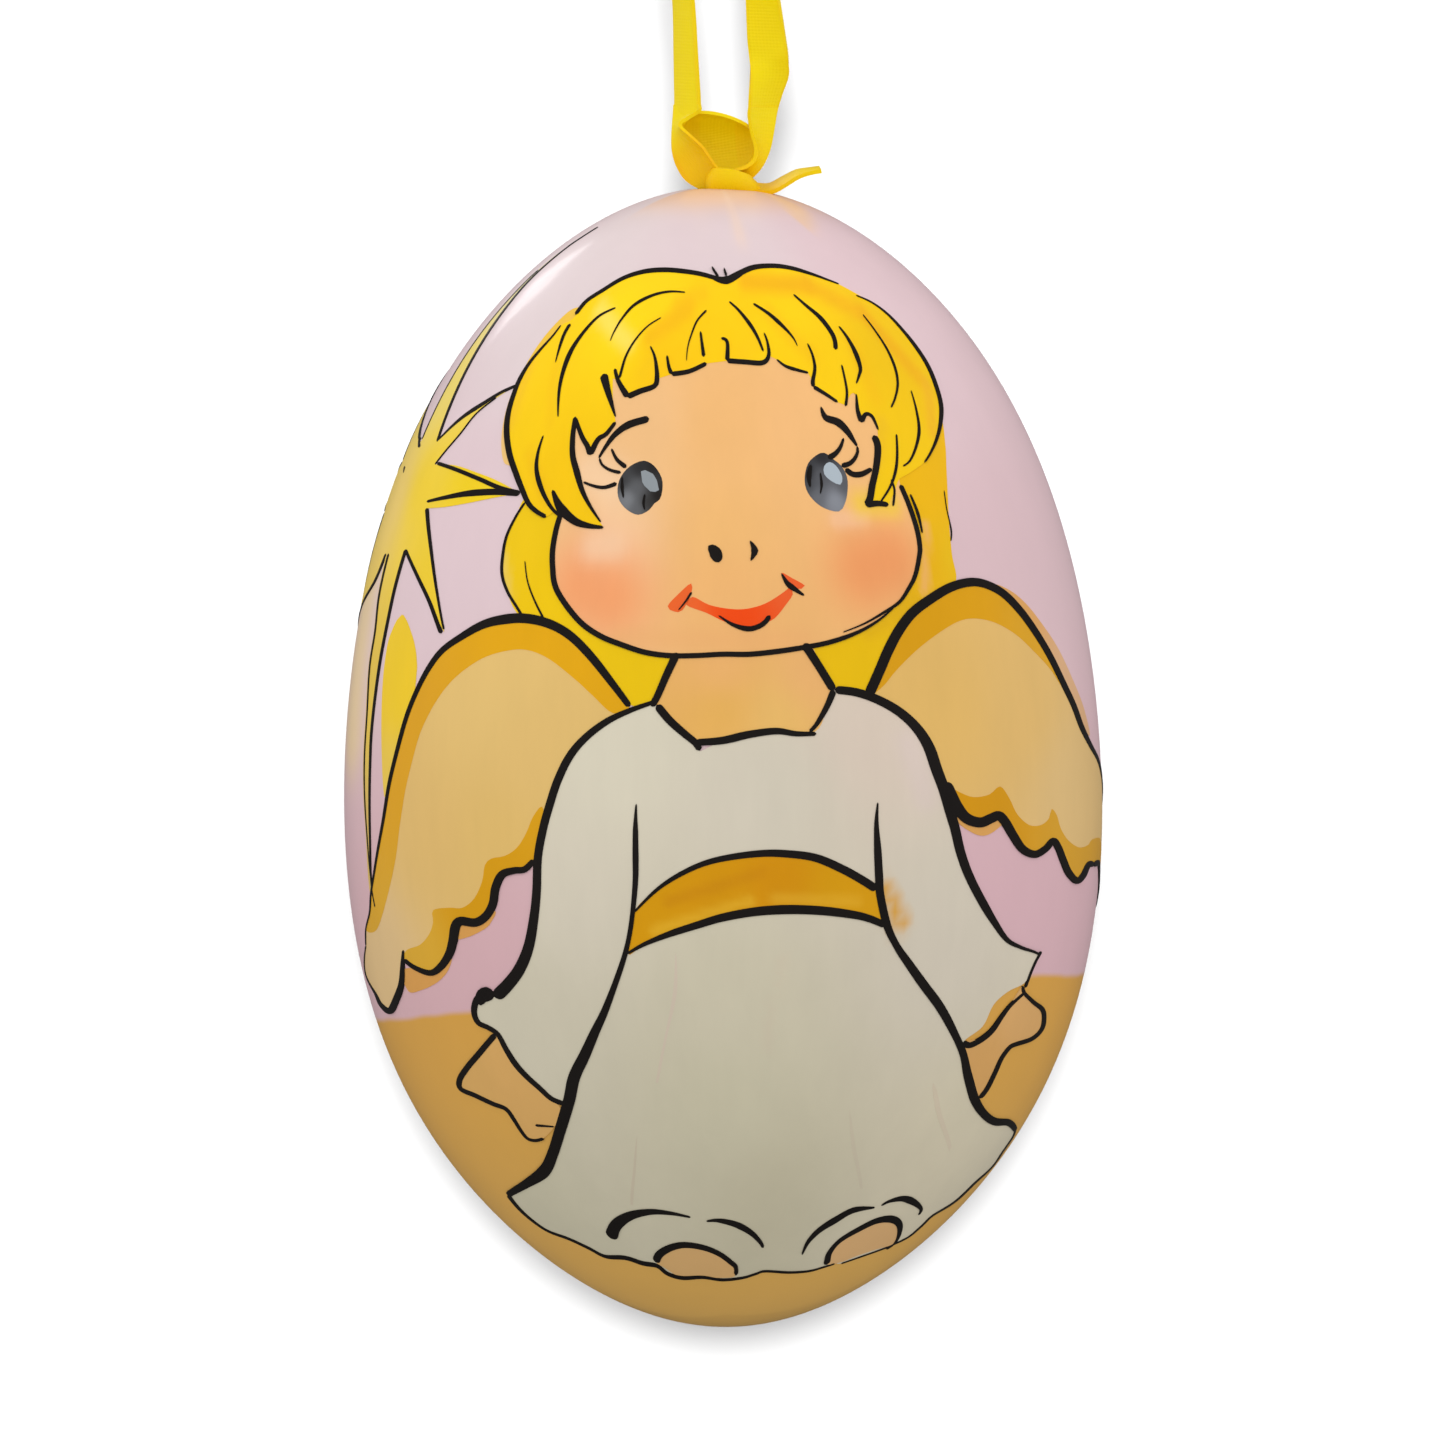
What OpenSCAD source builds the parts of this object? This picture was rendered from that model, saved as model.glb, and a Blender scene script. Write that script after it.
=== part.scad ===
// Painted goose egg ornament: a blown shell that hangs, blunt end down, on a
// narrow ribbon. One end of the ribbon runs through the blow hole to a wooden
// toggle stick that lies crosswise inside; the rest is knotted on the shell's
// top and goes up in a hanging loop. Heights run down from the inside of the
// loop, where a hook holds it: the loop carries the knot, the knot the egg.
// The picture side faces -Y.

/* [Egg] */
// Length of the shell, tip to tip
egg_len = 86; // [70:1:110]
// Largest diameter of the shell
egg_dia = 57; // [46:1:74]
// Thickness of the shell
shell_wall = 0.6; // [0.4:0.1:1.2]
// Diameter of the blow hole in the top
hole_dia = 4.5; // [3.7:0.1:7]

/* [Ribbon] */
// Width of the ribbon
ribbon_w = 3; // [2:0.1:3.6]
// Thickness of the ribbon
ribbon_t = 0.3; // [0.2:0.05:0.5]

/* [Knot] */
// Diameter of the knot, seen from the front
knot_dia = 6; // [5:0.1:8]
// Depth of the knot, front to back
knot_depth = 4.6; // [3.6:0.1:6]
// Rounding of the knot's edges
knot_round = 1.2; // [0.6:0.1:1.7]

/* [Toggle stick] */
// Diameter of the stick
stick_dia = 2.2; // [1.5:0.1:3.2]
// Length of the stick
stick_len = 12; // [8:0.5:20]
// Chamfer on the stick's ends
stick_chamfer = 0.2; // [0.1:0.05:0.4]
// Turns of ribbon round the stick
hitch_turns = 2; // [1:1:3]

/* [Clearances] */
// Gap that lets the shell turn on the stick and under the knot
running_gap = 0.3; // [0.2:0.05:0.6]
// Gap in the strands where they bend as the egg swings
bend_gap = 0.5; // [0.4:0.1:1]

/* [Hidden] */
$fn = 64;

// Outline of the shell as a share of an ellipse's radius: a polynomial in
// height, with 1 at the top tip and -1 at the bottom tip.
egg_form = [1, -0.066, 0.09, 0.058, -0.16];
// Angle between two points of the outline
egg_step = 4;

// Height where the strands bend when the egg swings fore and aft
bend_z = -20;
// Left half of the ribbon's route, from the knot up to the bend
left_strand = [
    [-2.4, 0, -33.4], [-2.5, 0.1, -31], [-2.8, 0.2, -28],
    [-2.9, 0.1, -25], [-3, 0, -22], [-3, 0, bend_z]
];
// Right half of the route, from the knot up to the bend
right_strand = [
    [2.5, 0, -33.4], [2.9, 0.1, -31], [3.3, 0.2, -28],
    [3.2, 0.1, -25], [3, 0, -22], [3, 0, bend_z]
];
// The loop's route: up from the left bend, over the hook, down to the right
loop_route = [
    [-3, 0, bend_z], [-3.1, 0, -18], [-3.6, 0, -15], [-4.4, 0, -12],
    [-5.3, 0, -9], [-5.9, 0, -6.5], [-5.9, 0, -4.5], [-5, 0, -2.2],
    [-3.2, 0, -0.6], [-1.1, 0, 0.1], [1.1, 0, 0.1], [3.2, 0, -0.6],
    [5, 0, -2.2], [5.9, 0, -4.5], [5.9, 0, -6.5], [5.3, 0, -9],
    [4.4, 0, -12], [3.6, 0, -15], [3.1, 0, -18], [3, 0, bend_z]
];
// Heights between which the ribbon turns from facing front to lying on a hook
twist_from = -18;
twist_to = -5;
// The cut end's route, measured from the shell's top
tail_route = [
    [ribbon_w / 2 + ribbon_t, 0, 1.6], [2.5, 0, 0.7], [3.5, 0, 0.2],
    [4.7, 0, 0.1], [6, 0, 0.6], [7.3, 0, 1.4]
];
// How far the end that goes inside reaches up into the knot
knot_bite = 1;

// Heights down the chain: strands, knot, shell, stick
strand_foot = left_strand[0][2];
knot_z = strand_foot - running_gap - knot_dia / 2;
egg_top = knot_z - knot_dia / 2 - running_gap;
egg_z = egg_top - egg_len / 2;
stick_z = egg_z + inner_height(stick_len / 2) - running_gap - stick_dia / 2;
hitch_dia = stick_dia + 2 * hitch_turns * ribbon_t;

// Share of the ellipse's radius at height t, from -1 to 1
function share(t) = egg_form * [1, t, pow(t, 2), pow(t, 3), pow(t, 4)];
// Point of the outline at an angle from the top tip, drawn in by an inset
function egg_point(angle, inset) =
    [(egg_dia / 2 - inset) * sin(angle) * share(cos(angle)),
     (egg_len / 2 - inset) * cos(angle)];
// The outline from the top tip to the bottom tip
function egg_side(inset) = [for (a = [0:egg_step:180]) egg_point(a, inset)];
// Height of the inner wall above the shell's middle, at a radius near the top
function inner_height(radius) =
    lookup(radius, [for (a = [0:egg_step / 4:60]) egg_point(a, shell_wall)]);

function unit(v) = v / norm(v);
function reversed(list) = [for (i = [len(list) - 1:-1:0]) list[i]];
// Direction of a route at one of its points
function heading(route, i) =
    unit(route[min(i + 1, len(route) - 1)] - route[max(i - 1, 0)]);
// Quarter turn of the ribbon with height, eased at both ends
function twist(z) =
    let (s = min(1, max(0, (z - twist_from) / (twist_to - twist_from))))
    90 * s * s * (3 - 2 * s);
// Eight corners of the ribbon's section: across its width, through its thickness
function section() =
    let (w = ribbon_w / 2, t = ribbon_t / 2, c = ribbon_t / 4)
    [[w, -t + c], [w, t - c], [w - c, t], [-w + c, t],
     [-w, t - c], [-w, -t + c], [-w + c, -t], [w - c, -t]];
// The section placed at one point of a route, turned about the heading
function ring(route, i, turn) =
    let (ahead = heading(route, i),
         side = unit(cross([0, 1, 0], ahead)),
         front = cross(ahead, side),
         across = cos(turn) * side + sin(turn) * front,
         through = cross(ahead, across))
    [for (p = section()) route[i] + p[0] * across + p[1] * through];
// Pulls both ends, or one, back along the route to leave the bend's gap
function trimmed(route, from_start, from_end) =
    let (last = len(route) - 1)
    [for (i = [0:last])
        i == 0 && from_start ? route[0] + bend_gap / 2 * heading(route, 0) :
        i == last && from_end ? route[last] - bend_gap / 2 * heading(route, last) :
        route[i]];

// A ribbon swept along a route, turned at each point by the list of turns
module ribbon(route, turns) {
    n = len(section());
    last = len(route) - 1;
    points = [for (i = [0:last]) each ring(route, i, turns[i])];
    // Two triangles a side, split alike on both faces, so that the ribbon
    // keeps its thickness where it twists.
    sides = [for (i = [0:last - 1], k = [0:n - 1])
        let (a = i * n + k, b = i * n + (k + 1) % n)
        each k < n / 2 ? [[a, a + n, b + n], [a, b + n, b]]
                       : [[a, a + n, b], [a + n, b + n, b]]];
    ends = [[for (k = [0:n - 1]) k], [for (k = [n - 1:-1:0]) last * n + k]];
    polyhedron(points, concat(sides, ends));
}

// Blown shell: one closed wall with the blow hole through its top
module eggshell() {
    color("thistle")
    translate([0, 0, egg_z])
    difference() {
        rotate_extrude()
            polygon(concat(egg_side(0), reversed(egg_side(shell_wall))));
        translate([0, 0, egg_len / 2 - stick_dia])
            cylinder(d = hole_dia, h = 2 * stick_dia);
    }
}

// Upper ribbon: the loop that goes over the hook
module ribbon_loop() {
    route = trimmed(loop_route, true, true);
    color("gold") ribbon(route, [for (p = route) twist(p[2])]);
}

// Two strands between the bend and the knot, facing front
module ribbon_strands() {
    color("gold")
    for (strand = [left_strand, right_strand])
        ribbon(trimmed(strand, false, true), [for (p = strand) 0]);
}

// Knot on the shell's top: round about Y, so that it rolls under the strands
module ribbon_knot() {
    r = knot_dia / 2;
    half = knot_depth / 2;
    color("goldenrod")
    translate([0, 0, knot_z])
    rotate([90, 0, 0])
    rotate_extrude() {
        translate([0, -half]) square([r - knot_round, knot_depth]);
        translate([0, -half + knot_round]) square([r, knot_depth - 2 * knot_round]);
        for (s = [-1, 1])
            translate([r - knot_round, s * (half - knot_round)]) circle(knot_round);
    }
}

// Cut end of the ribbon: out of the knot, along the shell and up
module ribbon_tail() {
    color("gold")
    translate([0, 0, egg_top])
    ribbon(tail_route, [for (p = tail_route) 90]);
}

// The end that runs from the knot through the blow hole to the stick
module ribbon_lead() {
    top = knot_z - knot_dia / 2 + knot_bite;
    foot = stick_z + hitch_dia / 2 - ribbon_t / 2;
    color("goldenrod")
    translate([-ribbon_w / 2, -ribbon_t / 2, foot])
        cube([ribbon_w, ribbon_t, top - foot]);
}

// Ribbon wound round the middle of the stick
module ribbon_hitch() {
    color("goldenrod")
    translate([-ribbon_w / 2, 0, stick_z])
    rotate([0, 90, 0])
    difference() {
        cylinder(d = hitch_dia, h = ribbon_w);
        translate([0, 0, -ribbon_w / 2]) cylinder(d = stick_dia, h = 2 * ribbon_w);
    }
}

// Wooden stick, crosswise under the blow hole
module toggle_stick() {
    r = stick_dia / 2;
    half = stick_len / 2;
    color("burlywood")
    translate([0, 0, stick_z])
    rotate([0, 90, 0])
    rotate_extrude()
        polygon([[0, -half], [r - stick_chamfer, -half], [r, -half + stick_chamfer],
                 [r, half - stick_chamfer], [r - stick_chamfer, half], [0, half]]);
}

eggshell();
ribbon_loop();
ribbon_strands();
ribbon_knot();
ribbon_tail();
ribbon_lead();
ribbon_hitch();
toggle_stick();
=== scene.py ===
"""A blown goose egg, brush-painted with a folk angel and varnished, hanging on a narrow satin ribbon."""

import logging
import math
from dataclasses import dataclass, field
from enum import Enum
from typing import Mapping, Sequence

import bmesh
import bpy
from bmesh.types import BMFace, BMVert, BMesh
from bpy.types import Material, Mesh, Node, NodeSocket, NodeTree, Object
from mathutils import Matrix, Vector


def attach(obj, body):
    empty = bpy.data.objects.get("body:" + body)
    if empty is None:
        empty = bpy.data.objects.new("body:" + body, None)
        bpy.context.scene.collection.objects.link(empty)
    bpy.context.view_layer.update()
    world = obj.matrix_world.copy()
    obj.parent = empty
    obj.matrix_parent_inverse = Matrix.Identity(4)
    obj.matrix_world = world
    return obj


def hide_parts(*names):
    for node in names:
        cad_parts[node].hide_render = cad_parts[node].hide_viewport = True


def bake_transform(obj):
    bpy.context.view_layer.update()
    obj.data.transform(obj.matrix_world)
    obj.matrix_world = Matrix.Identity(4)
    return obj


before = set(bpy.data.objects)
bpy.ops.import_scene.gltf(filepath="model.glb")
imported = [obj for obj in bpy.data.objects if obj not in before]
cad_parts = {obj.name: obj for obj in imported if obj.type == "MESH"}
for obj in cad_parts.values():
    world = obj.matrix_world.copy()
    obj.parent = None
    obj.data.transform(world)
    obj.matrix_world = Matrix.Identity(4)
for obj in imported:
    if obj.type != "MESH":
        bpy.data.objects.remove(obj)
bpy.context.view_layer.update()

log = logging.getLogger("painted_egg")

MM = 0.001
DEGREES_FROM = 40.0
CAMERA_ROLL = math.radians(0.5)
QUARTER_TURN = math.radians(90.0)
FULL_CIRCLE = 360.0
SAME_PLACE = 0.000001

VALUE = "NodeSocketFloat"
VECTOR = "NodeSocketVector"
MIX_SHARE = 0
MIX_FIRST = 6
MIX_SECOND = 7
MIX_RESULT = 2

Place = tuple[float, float]
Outline = tuple[Place, ...]
Tones = tuple[tuple[float, float, str], ...]


class Body(Enum):
    """The moving bodies of the hanging egg."""

    LOOP = "loop"
    STRANDS = "strands"
    KNOT = "knot"
    EGG = "egg"


class Slot(Enum):
    """The record's material slots."""

    PAINTED = "painted_shell"
    RIBBON = "satin_ribbon"
    WOOD = "bare_wood"


def colour_of(code: str) -> tuple[float, float, float]:
    """Turn a six-digit colour code into linear red, green and blue.

    Args:
        code: the colour as RRGGBB, in the usual display encoding.

    Returns:
        The three linear channels, 0 to 1.
    """
    channels = [step / 255 for step in bytes.fromhex(code)]
    red, green, blue = (c / 12.92 if c <= 0.04045 else ((c + 0.055) / 1.055) ** 2.4 for c in channels)
    return red, green, blue


def opaque(code: str) -> tuple[float, float, float, float]:
    """Turn a colour code into an opaque linear colour for a shader."""
    return (*colour_of(code), 1.0)


def grey(shade: float) -> tuple[float, float, float, float]:
    """Return an opaque grey for a shader."""
    return (shade, shade, shade, 1.0)


@dataclass(frozen=True)
class EggForm:
    """The goose egg's outer shape, in millimetres from its centre.

    The girth at a height comes from a circle arc scaled by a short polynomial in t, which is 1 at the narrow
    top and -1 at the blunt bottom.
    """

    length: float = 86.0
    diameter: float = 57.0
    wall: float = 0.6
    hole: float = 4.5
    centre: float = -83.0
    terms: tuple[float, ...] = (1.0, -0.066, 0.09, 0.058, -0.16)

    @property
    def reach(self) -> float:
        """Radius that the unrolled sheet is scaled to."""
        return self.diameter / 2

    def fullness(self, t: float) -> float:
        """How full the girth is against a plain ellipse at t."""
        return sum(term * t**power for power, term in enumerate(self.terms))

    def radius(self, height: float) -> float:
        """Girth radius at a height above the centre."""
        t = max(-1.0, min(1.0, 2 * height / self.length))
        return self.reach * math.sqrt(1 - t * t) * self.fullness(t)

    def outward(self, turn: float, height: float) -> Vector:
        """Unit normal of the shell.

        Args:
            turn: angle round the egg in radians, 0 at the front and positive to the right.
            height: millimetres above the centre.

        Returns:
            The outward unit vector.
        """
        t = max(-1.0, min(1.0, 2 * height / self.length))
        sine = math.sqrt(1 - t * t)
        growth = sum(power * term * t ** (power - 1) for power, term in enumerate(self.terms) if power)
        rise = self.reach * (t * self.fullness(t) - sine * sine * growth)
        side = self.length / 2 * sine
        return Vector((side * math.sin(turn), -side * math.cos(turn), rise)).normalized()

    def spot(self, turn: float, height: float, lift: float = 0.0) -> Vector:
        """Find a place on or above the shell.

        Args:
            turn: angle round the egg in radians, 0 at the front.
            height: millimetres above the centre.
            lift: millimetres above the shell.

        Returns:
            The place in metres in the shared frame.
        """
        r = self.radius(height)
        base = Vector((r * math.sin(turn), -r * math.cos(turn), height))
        base += self.outward(turn, height) * lift
        return Vector((base.x, base.y, base.z + self.centre)) * MM


@dataclass(frozen=True)
class Stroke:
    """One brush line: the places it passes, and its widths spread evenly along it, in millimetres."""

    places: Outline
    widths: tuple[float, ...]

    def width_at(self, share: float) -> float:
        """Find the line's width.

        Args:
            share: share of the line's length, 0 to 1.

        Returns:
            The width there.
        """
        if len(self.widths) == 1:
            return self.widths[0]
        step = share * (len(self.widths) - 1)
        index = min(int(step), len(self.widths) - 2)
        rest = step - index
        return self.widths[index] * (1 - rest) + self.widths[index + 1] * rest


@dataclass(frozen=True)
class Touch:
    """A soft dab or drag that shades the paint round it; most are brush paint, a few are painted highlights.
    """

    start: Place
    end: Place
    spread: float
    code: str
    strength: float = 1.0


def bend(before: Vector, here: Vector, there: Vector, after: Vector, s: float) -> Vector:
    """Find a place on the smooth curve between two points.

    Args:
        before: the point before the span.
        here: the span's first point.
        there: the span's second point.
        after: the point after the span.
        s: the share of the span, 0 to 1.

    Returns:
        The place.
    """
    pull = (there - before) * (s - 2 * s**2 + s**3) + (after - here) * (s**3 - s**2)
    return here * (1 - 3 * s**2 + 2 * s**3) + there * (3 * s**2 - 2 * s**3) + pull / 2


def spline(points: Sequence[Vector], closed: bool, step: float) -> list[Vector]:
    """Run a smooth curve through points; a point given twice makes a corner.

    Args:
        points: the places in order.
        closed: whether the last point joins the first.
        step: the longest gap between two results.

    Returns:
        The smoothed places, without a repeated end on a closed curve.
    """
    count = len(points)
    spans = count if closed else count - 1
    result: list[Vector] = []
    for i in range(spans):
        if closed:
            before, here, there, after = (points[(i + k) % count] for k in (-1, 0, 1, 2))
        else:
            here, there = points[i], points[i + 1]
            before = points[i - 1] if i else here
            after = points[i + 2] if i + 2 < count else there
        gap = (there - here).length
        if gap > SAME_PLACE:
            parts = max(1, math.ceil(gap / step))
            result.extend(bend(before, here, there, after, k / parts) for k in range(parts))
    if not closed:
        result.append(points[-1].copy())
    return result


@dataclass
class Canvas:
    """The painted face of the egg: turns drawing places into places on the shell."""

    form: EggForm = field(default_factory=EggForm)
    lean: float = math.tan(CAMERA_ROLL)
    edge_share: float = 0.996
    narrowest: float = 0.3

    def unroll(self, place: Place) -> Vector:
        """Lay a drawing place on the unrolled sheet.

        Args:
            place: millimetres across and up as the front shows them; an across beyond DEGREES_FROM is instead
                the turn round the egg in degrees.

        Returns:
            Arc length across and height, in millimetres.
        """
        across, up = place
        if abs(across) > DEGREES_FROM:
            return Vector((math.radians(across) * self.form.reach, up, 0.0))
        x = across + self.lean * up
        height = up - self.lean * across
        share = max(-self.edge_share, min(self.edge_share, x / self.form.radius(height)))
        return Vector((math.asin(share) * self.form.reach, height, 0.0))

    def foreshortening(self, flat: Vector) -> float:
        """How much narrower a step across looks from the front than it is on the sheet."""
        share = self.form.radius(flat.y) / self.form.reach
        return max(self.narrowest, abs(math.cos(flat.x / self.form.reach))) * share

    def wrap(self, flat: Vector) -> Vector:
        """Bend a sheet place, with its lift as the third value, onto the egg."""
        return self.form.spot(flat.x / self.form.reach, flat.y, flat.z)


class Palette:
    """Mixes the paint at a place from an area's tones and touches."""

    tone_fall: float = 1.5
    touch_fall: float = 2.5

    def __init__(self, canvas: Canvas, tones: Tones, touches: Sequence[Touch], softness: float = 2.0) -> None:
        """Lay the tones and touches out on the unrolled sheet.

        Args:
            canvas: what unrolls them.
            tones: across, up and colour of each tone.
            touches: the soft touches.
            softness: how far a tone stays level round its place, in millimetres.
        """
        self.softness = softness
        self.tones = [(canvas.unroll((across, up)), Vector(colour_of(code))) for across, up, code in tones]
        self.touches = [
            (canvas.unroll(t.start), canvas.unroll(t.end), t.spread, Vector(colour_of(t.code)), t.strength)
            for t in touches
        ]

    def mix(self, flat: Vector) -> Vector:
        """Mix the paint at one place.

        Args:
            flat: the place on the unrolled sheet.

        Returns:
            The linear colour.
        """
        here = Vector((flat.x, flat.y, 0.0))
        total = Vector((0.0, 0.0, 0.0))
        weights = 0.0
        for place, tone in self.tones:
            weight = 1.0 / ((here - place).length_squared + self.softness**2) ** self.tone_fall
            total += tone * weight
            weights += weight
        paint = total / weights
        for start, end, spread, tone, strength in self.touches:
            run = end - start
            share = 0.0
            if run.length > SAME_PLACE:
                share = max(0.0, min(1.0, (here - start).dot(run) / run.length_squared))
            gap = (here - start - run * share).length / spread
            paint = paint.lerp(tone, strength * math.exp(-(gap**self.touch_fall)))
        return paint


class Nodes:
    """A short way to add and join shader nodes in one tree."""

    def __init__(self, tree: NodeTree) -> None:
        """Keep the tree that the nodes go into."""
        self.tree = tree

    def feed(self, node: Node, values: Mapping[str | int, object]) -> None:
        """Fill a node's inputs.

        Args:
            node: the node.
            values: what goes into each input, by its name or number: a plain value or another node's socket.
        """
        for key, value in values.items():
            if isinstance(value, NodeSocket):
                self.tree.links.new(value, node.inputs[key])
            else:
                node.inputs[key].default_value = value

    def add(self, kind: str, values: Mapping[str | int, object] | None = None, **settings: object) -> Node:
        """Add a node.

        Args:
            kind: the node's type.
            values: what goes into its inputs, as feed takes it.
            settings: the node's own properties.

        Returns:
            The node.
        """
        node = self.tree.nodes.new(kind)
        for name, value in settings.items():
            setattr(node, name, value)
        self.feed(node, values or {})
        return node

    def maths(self, operation: str, *values: object) -> NodeSocket:
        """Add a Math node whose inputs are numbers or sockets, and return its result."""
        return self.add("ShaderNodeMath", dict(enumerate(values)), operation=operation).outputs[0]

    def vector(self, operation: str, values: Mapping[str | int, object]) -> NodeSocket:
        """Add a Vector Math node and return its vector."""
        return self.add("ShaderNodeVectorMath", values, operation=operation).outputs["Vector"]

    def length(self, vector: NodeSocket) -> NodeSocket:
        """Return the length of a vector."""
        return self.add("ShaderNodeVectorMath", {0: vector}, operation="LENGTH").outputs["Value"]

    def split(self, place: NodeSocket) -> bpy.types.bpy_prop_collection:
        """Return the X, Y and Z sockets of a place."""
        return self.add("ShaderNodeSeparateXYZ", {0: place}).outputs

    def noise(self, place: object, scale: object, detail: float, roughness: float = 0.5) -> NodeSocket:
        """Add a noise texture and return its value."""
        values = {"Vector": place, "Scale": scale, "Detail": detail, "Roughness": roughness}
        return self.add("ShaderNodeTexNoise", values).outputs["Fac"]

    def ramp(
        self,
        value: NodeSocket,
        low: float,
        high: float,
        ends: tuple[float, float] = (0.0, 1.0),
        kind: str = "LINEAR",
    ) -> NodeSocket:
        """Map a value from one range to another.

        Args:
            value: the value's socket.
            low: the value that gives the first end.
            high: the value that gives the second end.
            ends: the results at low and at high.
            kind: the interpolation between them.

        Returns:
            The result's socket.
        """
        values = {"Value": value, "From Min": low, "From Max": high, "To Min": ends[0], "To Max": ends[1]}
        return self.add("ShaderNodeMapRange", values, interpolation_type=kind).outputs[0]

    def mix(self, share: NodeSocket, first: object, second: object) -> NodeSocket:
        """Mix two colours, each a plain colour or a socket, and return the result."""
        values = {MIX_SHARE: share, MIX_FIRST: first, MIX_SECOND: second}
        return self.add("ShaderNodeMix", values, data_type="RGBA").outputs[MIX_RESULT]

    def bump(self, height: NodeSocket, distance: float, strength: float = 1.0) -> NodeSocket:
        """Turn a height into a bumped normal."""
        values = {"Height": height, "Distance": distance, "Strength": strength}
        return self.add("ShaderNodeBump", values).outputs["Normal"]

    def attribute(self, name: str, output: str) -> NodeSocket:
        """Read an attribute of the piece."""
        return self.add("ShaderNodeAttribute", attribute_name=name).outputs[output]

    def place(self, kind: str = "Object") -> NodeSocket:
        """Return the place on the piece, in one kind of texture coordinates."""
        return self.add("ShaderNodeTexCoord").outputs[kind]


def new_group(name: str, inputs: Mapping[str, str], outputs: Mapping[str, str]) -> Nodes:
    """Start a shader node group with named sockets.

    Args:
        name: the group's name.
        inputs: socket type of each input, by its name.
        outputs: socket type of each output, by its name.

    Returns:
        The helper for the new tree.
    """
    tree = bpy.data.node_groups.new(name, "ShaderNodeTree")
    for way, sockets in (("INPUT", inputs), ("OUTPUT", outputs)):
        for title, kind in sockets.items():
            tree.interface.new_socket(name=title, in_out=way, socket_type=kind)
    return Nodes(tree)


def new_material(name: str) -> tuple[Material, Nodes, Node]:
    """Start a material.

    Args:
        name: the material's name.

    Returns:
        The material, the helper for its nodes, and its main shader.
    """
    material = bpy.data.materials.new(name)
    material.use_nodes = True
    return material, Nodes(material.node_tree), material.node_tree.nodes["Principled BSDF"]


class SharedEffects:
    """Shader node groups that more than one finish uses, each built once."""

    streak_stretch: tuple[float, float, float] = (1.0, 1.0, 0.22)
    streak_detail: float = 5.0
    streak_roughness: float = 0.62
    cloud_scale: float = 95.0
    cloud_detail: float = 3.0

    def __init__(self) -> None:
        """Build the groups."""
        self.brush = self._brush_marks()
        self.grain = self._fine_grain()

    def _brush_marks(self) -> NodeTree:
        """Make the long uneven streaks left by a soft brush.

        Returns:
            A group that gives a shade near 1 and a height.
        """
        inputs = {"Place": VECTOR, "Fineness": VALUE, "Depth": VALUE}
        make = new_group("brush_marks", inputs, {"Shade": VALUE, "Relief": VALUE})
        entry = make.add("NodeGroupInput").outputs
        stretched = make.vector("MULTIPLY", {0: entry["Place"], 1: self.streak_stretch})
        streak = make.noise(stretched, entry["Fineness"], self.streak_detail, self.streak_roughness)
        cloud = make.noise(entry["Place"], self.cloud_scale, self.cloud_detail)
        swing = make.maths("SUBTRACT", make.maths("ADD", streak, cloud), 1.0)
        shade = make.maths("MULTIPLY_ADD", swing, entry["Depth"], 1.0)
        make.add("NodeGroupOutput", {"Shade": shade, "Relief": streak})
        return make.tree

    @staticmethod
    def _fine_grain() -> NodeTree:
        """Make the fine pores under the varnish.

        Returns:
            A group that gives a height.
        """
        make = new_group("fine_grain", {"Place": VECTOR, "Size": VALUE}, {"Pits": VALUE})
        entry = make.add("NodeGroupInput").outputs
        values = {"Vector": entry["Place"], "Scale": entry["Size"]}
        cells = make.add("ShaderNodeTexVoronoi", values, feature="F1")
        make.add("NodeGroupOutput", {"Pits": cells.outputs["Distance"]})
        return make.tree


@dataclass(frozen=True)
class PaintFinish:
    """Brushed acrylic paint under a satin varnish; the colour comes from the piece's own tone attribute."""

    name: str
    streaks: float = 0.09
    fineness: float = 420.0
    pore_scale: float = 900.0
    pore_depth: float = 0.25
    roughness: float = 0.42
    roughness_swing: float = 0.16
    specular: float = 0.1
    coat: float = 0.16
    coat_roughness: float = 0.12
    relief: float = 0.00001
    relief_strength: float = 0.7

    def colour(self, make: Nodes, place: NodeSocket) -> NodeSocket:
        """Find the paint's colour before its streaks.

        Args:
            make: the helper for the material's nodes.
            place: the place on the piece; not used here.

        Returns:
            The socket that holds the colour.
        """
        return make.attribute("tone", "Color")

    def build(self, effects: SharedEffects) -> Material:
        """Make the material.

        Args:
            effects: the shared node groups.

        Returns:
            The finished material.
        """
        material, make, shader = new_material(self.name)
        place = make.place()
        marks = {"Place": place, "Fineness": self.fineness, "Depth": self.streaks}
        brush = make.add("ShaderNodeGroup", marks, node_tree=effects.brush).outputs
        pore_inputs = {"Place": place, "Size": self.pore_scale}
        pores = make.add("ShaderNodeGroup", pore_inputs, node_tree=effects.grain)
        height = make.maths("MULTIPLY_ADD", pores.outputs["Pits"], self.pore_depth, brush["Relief"])
        smooth = self.roughness - self.roughness_swing / 2
        values = {
            "Base Color": make.vector("SCALE", {0: self.colour(make, place), "Scale": brush["Shade"]}),
            "Roughness": make.maths("MULTIPLY_ADD", brush["Relief"], self.roughness_swing, smooth),
            "Normal": make.bump(height, self.relief, self.relief_strength),
            "Specular IOR Level": self.specular,
            "Coat Weight": self.coat,
            "Coat Roughness": self.coat_roughness,
        }
        make.feed(shader, values)
        return material


@dataclass(frozen=True)
class InkFinish(PaintFinish):
    """Thin black paint of the outlines, one colour throughout."""

    streaks: float = 0.4
    code: str = "1F1B19"

    def colour(self, make: Nodes, place: NodeSocket) -> NodeSocket:
        """Give the ink its one colour.

        Args:
            make: the helper for the material's nodes.
            place: the place on the piece, which ink doesn't need.

        Returns:
            The socket that holds the colour.
        """
        ink = make.add("ShaderNodeRGB")
        ink.outputs[0].default_value = opaque(self.code)
        return ink.outputs[0]


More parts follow.
